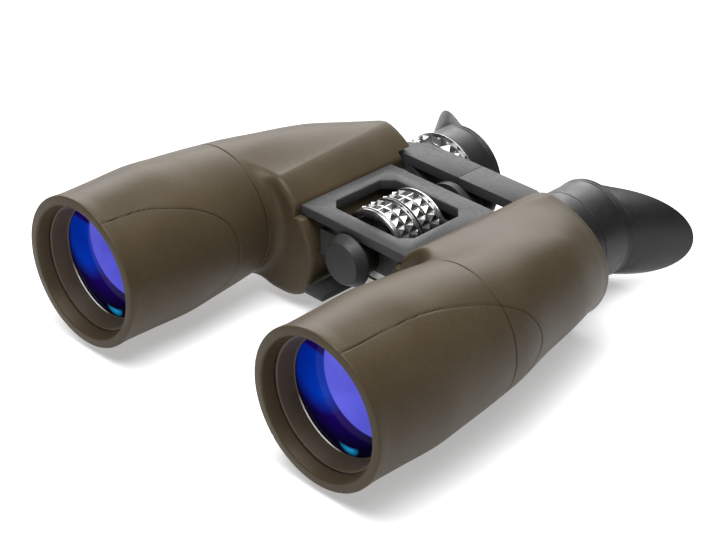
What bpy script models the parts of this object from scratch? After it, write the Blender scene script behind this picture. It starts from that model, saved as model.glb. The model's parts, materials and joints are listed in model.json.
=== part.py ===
"""Porro-prism binoculars with a centre hinge, built as an assembly of separate pieces.

Lengths are in metres, +Z is up, +Y runs from the objectives to the eyepieces and +X is the
user's left-hand side.  A station is a distance back from the front of the objective rims,
and heights are measured from the shared height of the objective axes and the hinge axis.
"""

import math

import bmesh
import bpy
import numpy as np
from mathutils import Matrix, Vector

MM = 0.001
GAP = 0.3 * MM                      # clearance between touching pieces

# Overall layout
OVERALL_LENGTH = 217.4 * MM
EYE_DROP = 12.7 * MM                # eyepiece axes below the objective axes
DIOPTRE_RADIUS = 23.3 * MM
AXIS_HEIGHT = EYE_DROP + DIOPTRE_RADIUS  # the dioptre ring touches the ground
FRONT_Y = -OVERALL_LENGTH / 2
OBJECTIVE_X = 68.8 * MM
EYE_X = 37.3 * MM

# Barrel and prism housing
LIP_RADIUS = 28.3 * MM
LIP_DEPTH = 6.0 * MM
ARMOUR_WALL = 2.3 * MM
HOUSING_WALL = 1.8 * MM
# Station, axis x, axis height and radius of the tapering barrel
BARREL_STATIONS = (
    (0.0, 68.8, 0.0, 32.0),
    (1.4, 68.8, 0.0, 33.0),
    (7.0, 68.8, 0.0, 32.4),
    (20.0, 68.8, 0.0, 32.8),
    (36.0, 68.8, 0.0, 33.2),
    (53.0, 68.8, 0.0, 31.9),
    (68.0, 68.8, 0.0, 30.5),
    (82.0, 68.8, 0.0, 28.9),
    (106.0, 66.2, 0.0, 26.3),
    (129.0, 63.5, -0.8, 24.1),
    (145.0, 60.6, -2.4, 21.4),
    (152.0, 58.9, -2.0, 19.5),
    (157.0, 57.4, -1.0, 17.2),
    (159.0, 56.8, 0.0, 15.4),
)
HUMP_INNER_X = 20.6 * MM            # upright inner wall, beside the hinge
HUMP_HALF_WIDTHS = (21.3 * MM, 26.9 * MM)   # at the front and at the rear
HUMP_MIDDLE = -4.3 * MM             # height of the hump's middle
HUMP_HALF_HEIGHT = 27.4 * MM
HUMP_FRONT = 82.5 * MM
HUMP_REAR = 154.5 * MM
HUMP_FRONT_ROUND = 4.0 * MM
HUMP_REAR_ROUND = 10.0 * MM
HUMP_SQUARENESS = 2.6
HUMP_SLOPES = (1.36, 1.58)          # squareness of the upper inner quarter, front and rear
FRONT_WALL_RATIO = 1.4              # walls are thicker behind the hump's front face
BLEND = 4.0 * MM
SMALLEST_HUMP = 0.05                # share of full size below which the hump is left out
SECTION_CENTRE = (57.0 * MM, -1.0 * MM)
SECTION_SHIFT_SPAN = (50.0 * MM, 80.0 * MM)  # where section centres move from the barrel's axis
SEARCH_REACH = 60.0 * MM
SEARCH_STEPS = 1201
OUTER_RING_POINTS = 28
INNER_RING_POINTS = 24
CAVITY_END = 147.3 * MM
CUTTER_REACH = 2.0 * MM             # how far a cutter stands out of the piece it cuts
RECESS_CLEARANCE = 1.5 * MM         # around the bridge's ring and bar, which slide to and fro
HOUSING_GAPS = 3.6                  # room between armour and housing, in gaps
PLATE_GAPS = 6.6                    # room between the armour and the plates inside, in gaps
COVER_THICKNESS = 2.2 * MM

# Top plate
PLATE_HALF_WIDTH = 30.2 * MM
PLATE_FRONT = 86.1 * MM
PLATE_REAR = 138.9 * MM
PLATE_TOP = 13.7 * MM
PLATE_THICKNESS = 4.5 * MM
LEDGE_X = PLATE_HALF_WIDTH + GAP    # the humps are cut away beside and below the plate
LEDGE_HEIGHT = PLATE_TOP - PLATE_THICKNESS - GAP
WINDOW_HALF_WIDTH = 22.4 * MM
WINDOW_FRONT = 94.5 * MM
WINDOW_REAR = 129.7 * MM
WINDOW_CHAMFER = 4.6 * MM

# Centre hinge and focus drive
AXLE_RADIUS = 6.0 * MM
AXLE_BORE = 3.4 * MM
AXLE_SPAN = (87.0 * MM, 147.2 * MM)
FLANGE_RADIUS = 12.8 * MM           # round flange at the rear of the axle
FLANGE_THICKNESS = 4.0 * MM
SPINDLE_RADIUS = 3.1 * MM
SPINDLE_SPAN = (100.0 * MM, 167.6 * MM)
LUG_RADIUS = 8.7 * MM
LUG_REACH = 19.9 * MM
LUG_HALF_HEIGHT = 6.0 * MM
LUG_ARM_START = 2.0 * MM
ARM_INSET = 0.3 * MM                # arms are slightly thinner than the eyes and hubs they join
WASHER_RADIUS = 8.6 * MM
LUG_SPANS = {
    "right": {"front": (87.0 * MM, 91.4 * MM), "rear": (131.8 * MM, 136.0 * MM)},
    "left": {"front": (92.8 * MM, 97.2 * MM), "rear": (126.6 * MM, 130.4 * MM)},
}
WASHER_SPANS = {"front": (91.7 * MM, 92.5 * MM), "rear": (130.7 * MM, 131.5 * MM)}
WHEEL_SPAN = (98.4 * MM, 125.4 * MM)
WHEEL_RADIUS = 17.7 * MM
WHEEL_RIM = 1.0 * MM
WHEEL_RIM_STEP = 0.6 * MM
WHEEL_GROOVE_HALF_WIDTH = 0.9 * MM
WHEEL_GROOVE_DEPTH = 1.4 * MM
CAP_FACE = 79.5 * MM
CAP_BACK = 84.8 * MM
CAP_FACE_RADIUS = 8.9 * MM
CAP_BACK_RADIUS = 11.55 * MM
CAP_RIM = 0.8 * MM
CAP_EDGE = (0.5 * MM, 0.3 * MM)     # step of the face's edge, outwards and back
CAP_PLUG_LENGTH = 7.0 * MM
CAP_PLUG_CLEARANCE = 0.1 * MM
RAIL_X = (12.0 * MM, 22.6 * MM)     # flat rail along the foot of each half's inner wall
RAIL_HEIGHTS = (-23.6 * MM, -21.0 * MM)
RAIL_SPAN = (80.5 * MM, 138.0 * MM)

# Eyepiece bridge
BRIDGE_SPAN = (149.2 * MM, 164.3 * MM)
BRIDGE_THICKNESS = 4.5 * MM
BRIDGE_RING_RADIUS = 24.0 * MM
BRIDGE_TOP = 14.4 * MM
BRIDGE_BAR_END = 31.0 * MM          # from here the outline slopes down to the ring
BRIDGE_RING_FLAT = 20.8 * MM        # the ring is cut flat below, clear of the ground
HUB_RADIUS = 9.0 * MM
WEB_REACH = 8.0 * MM
WEB_FOOT = 5.0 * MM
WEB_OVERLAP = 1.0 * MM
NUT_RADIUS = 6.0 * MM
NUT_THICKNESS = 2.3 * MM
SEAM = 0.15 * MM                    # half the gap between the two arms

# Eyepieces
NOSE_RADIUS = 9.4 * MM
NOSE_BORE = 8.0 * MM
TUBE_RADIUS = 17.0 * MM
TUBE_FRONT = 138.5 * MM
TUBE_STEP = 149.9 * MM
TUBE_SHOULDER = 165.8 * MM
TUBE_HEAD_RADIUS = 19.3 * MM
TUBE_REAR = 187.0 * MM
TUBE_BORE = 14.5 * MM
TUBE_LIP = 2.0 * MM
EYE_LENS_APERTURE = 11.5 * MM
EYE_LENS_THICKNESS = 4.0 * MM
FIELD_LENS_SEAT = 1.6 * MM
FIELD_LENS_THICKNESS = 3.6 * MM
FIELD_LENS_BULGE = 1.2 * MM
FIELD_STOP_FRONT = 158.0 * MM
FIELD_STOP_THICKNESS = 1.4 * MM
FIELD_STOP_RADIUS = 9.0 * MM
DIOPTRE_SPAN = (165.0 * MM, 180.5 * MM)
COLLAR_SPAN = (165.0 * MM, 177.0 * MM)
COLLAR_RADIUS = 22.0 * MM
CUP_FRONTS = {"right": 181.7 * MM, "left": 178.2 * MM}
CUP_RADIUS = 22.1 * MM              # ridge around the base of the eyecup's wing
CUP_RIM = 194.2 * MM
CUP_RIDGE_WIDTH = 0.4 * MM
CUP_NECK_RADIUS = 21.3 * MM
CUP_NECK_SWELL = 0.4 * MM
CUP_WALL = 1.5 * MM
CUP_SEAT = 0.1 * MM                 # the cup opens slightly above its neck
WING_RADIUS = 21.7 * MM
WING_FLARE = 18.0 * MM
WING_POINTS = 28

# Objective lens and the parts that hold it, as (radius, station) in mm
OBJECTIVE_CELL = ((26.7, 22.0), (26.7, 6.6), (26.3, 6.6), (24.7, 13.4), (26.2, 13.4), (26.2, 22.0))
LENS_RADIUS = 25.8 * MM
LENS_FRONT = 13.9 * MM
LENS_REAR = 18.4 * MM
LENS_BULGE = 2.6 * MM
RETAINING_RING = (24.0 * MM, 25.9 * MM)
RETAINING_RING_SPAN = (18.8 * MM, 21.4 * MM)

# Prisms: each turns the light back, shifted sideways by PRISM_SHIFT
PRISM_SHIFT_ANGLE = 157.0
PRISM_HALF_LENGTH = 18.0 * MM
PRISM_HALF_WIDTH = 7.4 * MM
PRISM_DEPTH = 17.0 * MM
PRISM_END_POINTS = 7
SHELF_SPAN = (113.6 * MM, 116.4 * MM)
LIGHT_HOLE_RADIUS = 7.0 * MM

SIDES = {"right": -1.0, "left": 1.0}

COLOURS = {
    "armour": ((0.130, 0.105, 0.082), 0.55, 0.0),
    "housing": ((0.020, 0.020, 0.021), 0.50, 0.0),
    "frame": ((0.160, 0.160, 0.162), 0.42, 0.3),
    "dark_frame": ((0.045, 0.045, 0.047), 0.45, 0.2),
    "soft_rubber": ((0.040, 0.040, 0.042), 0.60, 0.0),
    "chrome": ((0.720, 0.720, 0.720), 0.15, 1.0),
    "steel": ((0.450, 0.450, 0.460), 0.30, 1.0),
    "brass": ((0.600, 0.430, 0.170), 0.30, 1.0),
    "blue_glass": ((0.020, 0.050, 0.400), 0.05, 0.0),
    "clear_glass": ((0.700, 0.760, 0.800), 0.05, 0.0),
}


# ---------------------------------------------------------------- scene helpers

def clear_scene():
    for item in list(bpy.data.objects):
        bpy.data.objects.remove(item, do_unlink=True)


def new_collection(name):
    collection = bpy.data.collections.new(name)
    bpy.context.scene.collection.children.link(collection)
    return collection


def make_materials():
    made = {}
    for name, (colour, roughness, metallic) in COLOURS.items():
        material = bpy.data.materials.new(name)
        material.use_nodes = True
        shader = material.node_tree.nodes["Principled BSDF"]
        shader.inputs["Base Color"].default_value = (*colour, 1.0)
        shader.inputs["Roughness"].default_value = roughness
        shader.inputs["Metallic"].default_value = metallic
        made[name] = material
    return made


def place(x, station, height):
    return Vector((x, FRONT_Y + station, AXIS_HEIGHT + height))


def add_object(name, mesh, material=None, cutter=False):
    item = bpy.data.objects.new(name, mesh)
    (CUTTERS if cutter else PARTS).objects.link(item)
    if not cutter:
        mesh.materials.append(MATERIALS[material])
    if cutter:
        item.hide_render = True
        item.display_type = "WIRE"
    return item


def finish_mesh(work, name, smooth_angle=32.0):
    bmesh.ops.recalc_face_normals(work, faces=work.faces)
    mesh = bpy.data.meshes.new(name)
    work.to_mesh(mesh)
    work.free()
    mesh.shade_smooth()
    mesh.set_sharp_from_angle(angle=math.radians(smooth_angle))
    return mesh


# ---------------------------------------------------------------- shape helpers

def turned(name, outline, centre, material, steps=24, closed=True):
    """Turn (radius, station) points about a line along Y through centre (x, height)."""
    mesh = bpy.data.meshes.new(name)
    base = outline[0][1]
    points = [(radius, 0.0, station - base) for radius, station in outline]
    count = len(points)
    edges = [(i, (i + 1) % count) for i in range(count if closed else count - 1)]
    mesh.from_pydata(points, edges, [])
    item = add_object(name, mesh, material)
    item.location = place(centre[0], base, centre[1])
    item.rotation_euler = (-math.pi / 2, 0.0, 0.0)
    screw = item.modifiers.new("turn", "SCREW")
    screw.steps = steps
    screw.render_steps = steps
    screw.use_merge_vertices = True
    screw.merge_threshold = 0.00001
    screw.use_smooth_shade = True
    return item


def tube(name, inner, outer, span, centre, material, steps=20):
    """A plain ring between two stations."""
    outline = ((outer, span[1]), (outer, span[0]), (inner, span[0]), (inner, span[1]))
    return turned(name, outline, centre, material, steps)


def box_mesh(low, high, name):
    work = bmesh.new()
    size = Vector(high) - Vector(low)
    middle = (Vector(high) + Vector(low)) / 2
    stretch = Matrix.Translation(middle) @ Matrix.Diagonal((*size, 1.0))
    bmesh.ops.create_cube(work, size=1.0, matrix=stretch)
    return finish_mesh(work, name)


def rod_mesh(name, radius, span, centre, segments=24):
    """A cylinder along Y between two stations."""
    work = bmesh.new()
    middle = place(centre[0], (span[0] + span[1]) / 2, centre[1])
    turn = Matrix.Rotation(math.pi / 2, 4, "X")
    bmesh.ops.create_cone(work, cap_ends=True, segments=segments, radius1=radius, radius2=radius,
                          depth=span[1] - span[0], matrix=Matrix.Translation(middle) @ turn)
    return finish_mesh(work, name)


def lofted(rings, name, closed=False):
    """Join rings of equal point counts; cap the ends, or join the last ring to the first."""
    work = bmesh.new()
    rows = [[work.verts.new(point) for point in ring] for ring in rings]
    count = len(rows[0])
    pairs = list(zip(rows, rows[1:]))
    if closed:
        pairs.append((rows[-1], rows[0]))
    for first, second in pairs:
        for i in range(count):
            j = (i + 1) % count
            work.faces.new((first[i], first[j], second[j], second[i]))
    if not closed:
        work.faces.new(rows[0])
        work.faces.new(rows[-1])
    return finish_mesh(work, name)


def boolean(item, other, operation="DIFFERENCE"):
    step = item.modifiers.new(operation.lower(), "BOOLEAN")
    step.operation = operation
    step.solver = "EXACT"
    step.object = other


def cut(item, mesh):
    boolean(item, add_object(f"cutter_{mesh.name}", mesh, cutter=True))


def join(item, mesh):
    boolean(item, add_object(f"joined_{mesh.name}", mesh, cutter=True), "UNION")


# ---------------------------------------------------------------- barrel sections

def barrel_circle(station):
    """Axis x, axis height and radius of the barrel at a station."""
    stations, *columns = (np.array(column) * MM for column in zip(*BARREL_STATIONS))
    return [float(np.interp(station, stations, column)) for column in columns]


def hump_scale(station, inset):
    """Size of the hump's section: full along its length, rounded down at both ends."""
    front = (HUMP_FRONT + FRONT_WALL_RATIO * inset + HUMP_FRONT_ROUND - station) / HUMP_FRONT_ROUND
    rear = (station - HUMP_REAR + HUMP_REAR_ROUND) / HUMP_REAR_ROUND
    ease = max(front, rear, 0.0)
    return (1.0 - ease ** 2.5) ** 0.4 if ease < 1.0 else 0.0


def section_depth(x, z, station, inset):
    """Signed depth at (x, z): negative inside the smooth union of barrel and hump."""
    centre, level, radius = barrel_circle(station)
    barrel = np.hypot(x - centre, z - level) - (radius - inset)
    scale = hump_scale(station, inset)
    if scale < SMALLEST_HUMP:
        return barrel
    full = float(np.interp(station, (HUMP_FRONT, HUMP_REAR), HUMP_HALF_WIDTHS))
    width = full * scale - inset
    height = HUMP_HALF_HEIGHT * scale - inset
    across = (x - HUMP_INNER_X - full) / width
    upward = (z - HUMP_MIDDLE) / height
    slope = float(np.interp(station, (HUMP_FRONT, HUMP_REAR), HUMP_SLOPES))
    power = np.where((across < 0) & (upward > 0), slope, HUMP_SQUARENESS)
    hump = ((np.abs(across) ** power + np.abs(upward) ** power) ** (1.0 / power) - 1.0) * width
    mix = np.clip(0.5 + 0.5 * (barrel - hump) / BLEND, 0.0, 1.0)
    union = barrel * (1.0 - mix) + hump * mix - BLEND * mix * (1.0 - mix)
    ledge = np.minimum(LEDGE_X + inset - x, z - LEDGE_HEIGHT + inset)
    return np.maximum(union, ledge)


def section_ring(side, station, inset, count):
    """Points of one cross-section, found by looking out from a centre at even angles.

    The first point lies on the inner corner of the ledge that carries the top plate.
    """
    shift = float(np.interp(station, SECTION_SHIFT_SPAN, (0.0, 1.0)))
    centre_x = OBJECTIVE_X + (SECTION_CENTRE[0] - OBJECTIVE_X) * shift
    centre_z = SECTION_CENTRE[1] * shift
    corner_x, corner_z = LEDGE_X + inset, LEDGE_HEIGHT - inset
    corner = math.atan2(corner_z - SECTION_CENTRE[1], corner_x - SECTION_CENTRE[0])
    reach = np.linspace(0.0, SEARCH_REACH, SEARCH_STEPS)
    ring = []
    for i in range(count):
        angle = corner + 2.0 * math.pi * i / count
        depth = section_depth(centre_x + reach * math.cos(angle), centre_z + reach * math.sin(angle),
                              station, inset)
        last = int(np.nonzero(depth < 0)[0][-1])
        part = depth[last] / (depth[last] - depth[last + 1])
        far = reach[last] + part * (reach[last + 1] - reach[last])
        x = centre_x + far * math.cos(angle)
        ring.append(place(side * x, station, centre_z + far * math.sin(angle)))
    return ring


OUTER_STATIONS = (0.0, 1.4, 7.0, 20.0, 36.0, 53.0, 68.0, 78.0, 82.4, 83.2, 86.6,
                  106.0, 129.0, 145.0, 149.5, 152.4, 155.0, 157.5, 159.0)
INNER_STATIONS = (6.3, 20.0, 36.0, 53.0, 68.0, 85.6, 87.4, 90.0, 93.0, 106.0, 129.0, 147.0)


def make_armour(name, side):
    """Rubber skin: a lofted outer form, hollowed for the housing, lip and bridge ring."""
    outer = [section_ring(side, station * MM, 0.0, OUTER_RING_POINTS) for station in OUTER_STATIONS]
    armour = add_object(name, lofted(outer, name), "armour")
    stations = [LIP_DEPTH, *(station * MM for station in INNER_STATIONS[1:-1]), CAVITY_END]
    hollow = [section_ring(side, station, ARMOUR_WALL, INNER_RING_POINTS) for station in stations]
    cut(armour, lofted(hollow, f"{name}_hollow"))
    mouth = (-CUTTER_REACH, LIP_DEPTH + MM)
    cut(armour, rod_mesh(f"{name}_mouth", LIP_RADIUS, mouth, (side * OBJECTIVE_X, 0.0), 32))
    recess = (CAVITY_END - MM, OVERALL_LENGTH)
    ring_room = BRIDGE_RING_RADIUS + RECESS_CLEARANCE
    cut(armour, rod_mesh(f"{name}_recess", ring_room, recess, (side * EYE_X, -EYE_DROP), 40))
    near, far = sorted((0.0, side * EYE_X))
    bar_floor = BRIDGE_TOP - BRIDGE_THICKNESS - RECESS_CLEARANCE
    cut(armour, box_mesh(place(near, recess[0], bar_floor), place(far, recess[1], AXIS_HEIGHT),
                         f"{name}_bar_recess"))
    return armour


def make_housing(name, side):
    """Rigid case inside the armour: barrel tube and prism case, open at both ends."""
    outside = ARMOUR_WALL + HOUSING_GAPS * GAP
    inside = outside + HOUSING_WALL
    stations = [station * MM for station in INNER_STATIONS]
    outer = [section_ring(side, station, outside, INNER_RING_POINTS) for station in stations]
    inner = [section_ring(side, station, inside, INNER_RING_POINTS) for station in reversed(stations)]
    return add_object(name, lofted(outer + inner, name, closed=True), "housing")


# ---------------------------------------------------------------- optics

def make_objective(suffix, side):
    centre = (side * OBJECTIVE_X, 0.0)
    cell = [(radius * MM, station * MM) for radius, station in OBJECTIVE_CELL]
    turned(f"objective_cell_{suffix}", cell, centre, "housing", 32)
    lens = [(0.0, LENS_REAR), (LENS_RADIUS, LENS_REAR)]
    for share in (1.0, 0.75, 0.5, 0.25, 0.0):
        lens.append((LENS_RADIUS * share, LENS_FRONT - LENS_BULGE * (1.0 - share * share)))
    turned(f"objective_lens_{suffix}", lens, centre, "blue_glass", 32, closed=False)
    tube(f"objective_ring_{suffix}", *RETAINING_RING, RETAINING_RING_SPAN, centre, "dark_frame")


def prism_centres():
    """Centres of the rear and front prisms, halfway along the two shifts of the light path."""
    angle = math.radians(PRISM_SHIFT_ANGLE)
    across = Vector((EYE_X - OBJECTIVE_X, -EYE_DROP))
    first = Vector((math.cos(angle), math.sin(angle)))
    first *= across.dot(first)
    start = Vector((OBJECTIVE_X, 0.0))
    return start + first / 2, start + first + (across - first) / 2


def make_prism(name, side, centre, angle, base, depth):
    """Right-angle prism with rounded ends: the hull of its long face and its apex edge."""
    along = Vector((math.cos(angle), math.sin(angle)))
    wide = Vector((-along.y, along.x))
    straight = PRISM_HALF_LENGTH - PRISM_HALF_WIDTH
    work = bmesh.new()
    for end in (-1.0, 1.0):
        for turn in np.linspace(-math.pi / 2, math.pi / 2, PRISM_END_POINTS):
            spot = centre + along * end * (straight + PRISM_HALF_WIDTH * math.cos(turn))
            spot = spot + wide * PRISM_HALF_WIDTH * math.sin(turn)
            work.verts.new(place(side * spot.x, base, spot.y))
        tip = centre + wide * end * PRISM_HALF_WIDTH
        work.verts.new(place(side * tip.x, base + depth, tip.y))
    bmesh.ops.convex_hull(work, input=work.verts)
    add_object(name, finish_mesh(work, name), "clear_glass")


def make_prisms(suffix, side):
    rear, front = prism_centres()
    angle = math.radians(PRISM_SHIFT_ANGLE)
    make_prism(f"prism_rear_{suffix}", side, rear, angle, SHELF_SPAN[1] + GAP, PRISM_DEPTH)
    across = angle + math.pi / 2
    make_prism(f"prism_front_{suffix}", side, front, across, SHELF_SPAN[0] - GAP, -PRISM_DEPTH)


def make_plate_across(name, side, span, material, holes):
    """A flat plate that fills the inside of the housing between two stations."""
    inset = ARMOUR_WALL + HOUSING_WALL + PLATE_GAPS * GAP
    rings = [section_ring(side, station, inset, INNER_RING_POINTS) for station in span]
    item = add_object(name, lofted(rings, name), material)
    for number, (centre, radius) in enumerate(holes):
        reach = (span[0] - CUTTER_REACH, span[1] + CUTTER_REACH)
        mesh = rod_mesh(f"{name}_hole_{number}", radius, reach, (side * centre[0], centre[1]), 24)
        cut(item, mesh)


def make_shelf(suffix, side):
    rear, front = prism_centres()
    middle = 2.0 * rear - Vector((OBJECTIVE_X, 0.0))
    holes = (((OBJECTIVE_X, 0.0), LIGHT_HOLE_RADIUS), (middle, LIGHT_HOLE_RADIUS),
             ((EYE_X, -EYE_DROP), LIGHT_HOLE_RADIUS))
    make_plate_across(f"prism_shelf_{suffix}", side, SHELF_SPAN, "dark_frame", holes)


def make_rear_cover(suffix, side):
    rear = CAVITY_END - 2.0 * GAP
    span = (rear - COVER_THICKNESS, rear)
    holes = (((EYE_X, -EYE_DROP), NOSE_RADIUS + GAP),)
    make_plate_across(f"rear_cover_{suffix}", side, span, "housing", holes)


# ---------------------------------------------------------------- frame and hinge

def make_top_plate():
    """Flat frame plate with a chamfered window for the focus wheel."""
    curve = bpy.data.curves.new("top_plate", "CURVE")
    curve.dimensions = "2D"
    curve.fill_mode = "BOTH"
    curve.extrude = PLATE_THICKNESS / 2
    half, front, rear = PLATE_HALF_WIDTH, PLATE_FRONT, PLATE_REAR
    add_loop(curve, [(-half, front), (half, front), (half, rear), (-half, rear)])
    half, front, rear, corner = WINDOW_HALF_WIDTH, WINDOW_FRONT, WINDOW_REAR, WINDOW_CHAMFER
    add_loop(curve, [(-half, front + corner), (-half, rear - corner), (corner - half, rear),
                     (half - corner, rear), (half, rear - corner), (half, front + corner),
                     (half - corner, front), (corner - half, front)])
    item = bpy.data.objects.new("top_plate", curve)
    curve.materials.append(MATERIALS["frame"])
    item.location = place(0.0, 0.0, PLATE_TOP - PLATE_THICKNESS / 2)
    PARTS.objects.link(item)


def add_loop(curve, points):
    spline = curve.splines.new("POLY")
    spline.points.add(len(points) - 1)
    for spot, (x, y) in zip(spline.points, points):
        spot.co = (x, y, 0.0, 1.0)
    spline.use_cyclic_u = True


def make_lug(name, side, span):
    """Hinge lug: an eye on the axle with an arm to the housing's inner wall."""
    lug = add_object(name, rod_mesh(name, LUG_RADIUS, span, (0.0, 0.0)), "dark_frame")
    near, far = sorted((side * LUG_ARM_START, side * LUG_REACH))
    join(lug, box_mesh(place(near, span[0] + ARM_INSET, -LUG_HALF_HEIGHT),
                       place(far, span[1] - ARM_INSET, LUG_HALF_HEIGHT), f"{name}_arm"))
    bore = (span[0] - CUTTER_REACH, span[1] + CUTTER_REACH)
    cut(lug, rod_mesh(f"{name}_bore", AXLE_RADIUS + GAP, bore, (0.0, 0.0)))


def make_hinge():
    centre = (0.0, 0.0)
    front, rear = AXLE_SPAN
    step = rear - FLANGE_THICKNESS
    axle = ((AXLE_RADIUS, step), (AXLE_RADIUS, front), (AXLE_BORE, front), (AXLE_BORE, rear),
            (FLANGE_RADIUS, rear), (FLANGE_RADIUS, step))
    turned("hinge_axle", axle, centre, "steel")
    tube("tripod_socket", AXLE_BORE, LUG_RADIUS, (CAP_BACK + GAP, front - GAP), centre, "brass")
    for place_name, span in WASHER_SPANS.items():
        tube(f"hinge_washer_{place_name}", AXLE_RADIUS + GAP, WASHER_RADIUS, span, centre, "brass", 24)
    for suffix, spans in LUG_SPANS.items():
        for place_name, span in spans.items():
            make_lug(f"hinge_lug_{place_name}_{suffix}", SIDES[suffix], span)


def make_tripod_cap():
    """Screw-in cap over the tripod socket, with a plug on its back."""
    plug = SPINDLE_RADIUS - CAP_PLUG_CLEARANCE
    tip = CAP_BACK + CAP_PLUG_LENGTH
    outline = ((0.0, tip), (plug, tip), (plug, CAP_BACK), (CAP_BACK_RADIUS, CAP_BACK),
               (CAP_BACK_RADIUS, CAP_BACK - CAP_RIM),
               (CAP_FACE_RADIUS + CAP_EDGE[0], CAP_FACE + CAP_EDGE[1]), (CAP_FACE_RADIUS, CAP_FACE),
               (0.0, CAP_FACE))
    turned("tripod_cap", outline, (0.0, 0.0), "dark_frame", 32, closed=False)


def make_rails():
    """Flat rails of the frame along the foot of each half's inner wall."""
    for suffix, side in SIDES.items():
        near, far = sorted(side * x for x in RAIL_X)
        low, high = RAIL_HEIGHTS
        front, rear = RAIL_SPAN
        name = f"frame_rail_{suffix}"
        add_object(name, box_mesh(place(near, front, low), place(far, rear, high), name), "dark_frame")


# ---------------------------------------------------------------- focus drive

def make_focus_wheel():
    """Two grip bands with a groove between them and a thin rim at each end."""
    front, rear = WHEEL_SPAN
    middle = (front + rear) / 2
    bore = AXLE_RADIUS + GAP
    groove = WHEEL_GROOVE_HALF_WIDTH
    outer = WHEEL_RADIUS
    low, rim = outer - WHEEL_GROOVE_DEPTH, outer - WHEEL_RIM
    first, last = front - WHEEL_RIM_STEP, rear + WHEEL_RIM_STEP
    outline = ((outer, rear), (outer, middle + groove), (low, middle + groove / 2),
               (low, middle - groove / 2), (outer, middle - groove), (outer, front),
               (rim, first), (bore, first), (bore, last), (rim, last))
    turned("focus_wheel", outline, (0.0, 0.0), "chrome", 36)


def make_spindle():
    front, rear = SPINDLE_SPAN
    outline = ((0.0, rear), (SPINDLE_RADIUS, rear), (SPINDLE_RADIUS, front), (0.0, front))
    turned("focus_spindle", outline, (0.0, 0.0), "steel", 24, closed=False)
    seat = BRIDGE_SPAN[1] + GAP
    span = (seat, seat + NUT_THICKNESS)
    tube("spindle_nut", SPINDLE_RADIUS + GAP, NUT_RADIUS, span, (0.0, 0.0), "steel", 24)


def bridge_outline(side):
    """Outline of an arm seen along the barrels: a bar that runs into a ring, cut flat below."""
    low = BRIDGE_TOP - BRIDGE_THICKNESS
    inner_end = math.pi - math.asin((low + EYE_DROP) / BRIDGE_RING_RADIUS)
    flat = math.asin(BRIDGE_RING_FLAT / BRIDGE_RING_RADIUS)
    rise, run = BRIDGE_TOP + EYE_DROP, BRIDGE_BAR_END - EYE_X
    tangent = math.atan2(rise, run) - math.acos(BRIDGE_RING_RADIUS / math.hypot(rise, run))
    outer_arc = np.linspace(tangent, -flat, 14)
    inner_arc = np.linspace(flat - math.pi, inner_end - 2 * math.pi, 14)
    points = [(SEAM, low), (SEAM, BRIDGE_TOP), (BRIDGE_BAR_END, BRIDGE_TOP)]
    for angle in (*outer_arc, *inner_arc):
        points.append((EYE_X + BRIDGE_RING_RADIUS * math.cos(angle),
                       -EYE_DROP + BRIDGE_RING_RADIUS * math.sin(angle)))
    return [(side * x, z) for x, z in points]


def make_bridge_arm(suffix, side, hub_span):
    """Flat arm from the hub on the spindle to the ring around the eyepiece."""
    name = f"bridge_arm_{suffix}"
    outline = bridge_outline(side)
    rings = [[place(x, station, z) for x, z in outline] for station in BRIDGE_SPAN]
    arm = add_object(name, lofted(rings, name), "frame")
    near, far = sorted((side * (SEAM + ARM_INSET), side * WEB_REACH))
    front, rear = hub_span[0] + ARM_INSET, hub_span[1] - ARM_INSET
    web_top = BRIDGE_TOP - BRIDGE_THICKNESS + WEB_OVERLAP
    join(arm, box_mesh(place(near, front + ARM_INSET, WEB_FOOT),
                       place(far, rear - ARM_INSET, web_top), f"{name}_web"))
    join(arm, rod_mesh(f"{name}_hub", HUB_RADIUS, (front, rear), (0.0, 0.0)))
    bore = (BRIDGE_SPAN[0] - CUTTER_REACH, BRIDGE_SPAN[1] + CUTTER_REACH)
    cut(arm, rod_mesh(f"{name}_eye_bore", TUBE_RADIUS + GAP, bore, (side * EYE_X, -EYE_DROP), 32))
    cut(arm, rod_mesh(f"{name}_hub_bore", SPINDLE_RADIUS + GAP, bore, (0.0, 0.0), 24))


# ---------------------------------------------------------------- eyepieces

def make_ocular(suffix, side):
    centre = (side * EYE_X, -EYE_DROP)
    seat = TUBE_STEP + TUBE_LIP
    lip = TUBE_REAR - TUBE_LIP
    outline = ((TUBE_HEAD_RADIUS, TUBE_REAR), (TUBE_HEAD_RADIUS, TUBE_SHOULDER),
               (TUBE_RADIUS, TUBE_SHOULDER), (TUBE_RADIUS, TUBE_STEP), (NOSE_RADIUS, TUBE_STEP),
               (NOSE_RADIUS, TUBE_FRONT), (NOSE_BORE, TUBE_FRONT), (NOSE_BORE, seat),
               (TUBE_BORE, seat), (TUBE_BORE, lip), (EYE_LENS_APERTURE, lip),
               (EYE_LENS_APERTURE, TUBE_REAR))
    turned(f"ocular_tube_{suffix}", outline, centre, "housing", 28)
    glass = TUBE_BORE - GAP
    field = seat + FIELD_LENS_SEAT
    field_span = (field, field + FIELD_LENS_THICKNESS)
    make_lens(f"field_lens_{suffix}", glass, field_span, FIELD_LENS_BULGE, centre)
    eye = lip - GAP
    make_lens(f"eye_lens_{suffix}", glass, (eye - EYE_LENS_THICKNESS, eye), 0.0, centre)
    stop_span = (FIELD_STOP_FRONT, FIELD_STOP_FRONT + FIELD_STOP_THICKNESS)
    tube(f"field_stop_{suffix}", FIELD_STOP_RADIUS, glass, stop_span, centre, "housing", 24)


def make_lens(name, radius, span, bulge, centre):
    front = [(radius * t, span[0] - bulge * (1.0 - t * t)) for t in (1.0, 0.66, 0.33, 0.0)]
    outline = ((0.0, span[1]), (radius, span[1]), *front)
    turned(name, outline, centre, "clear_glass", 24, closed=False)


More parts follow.
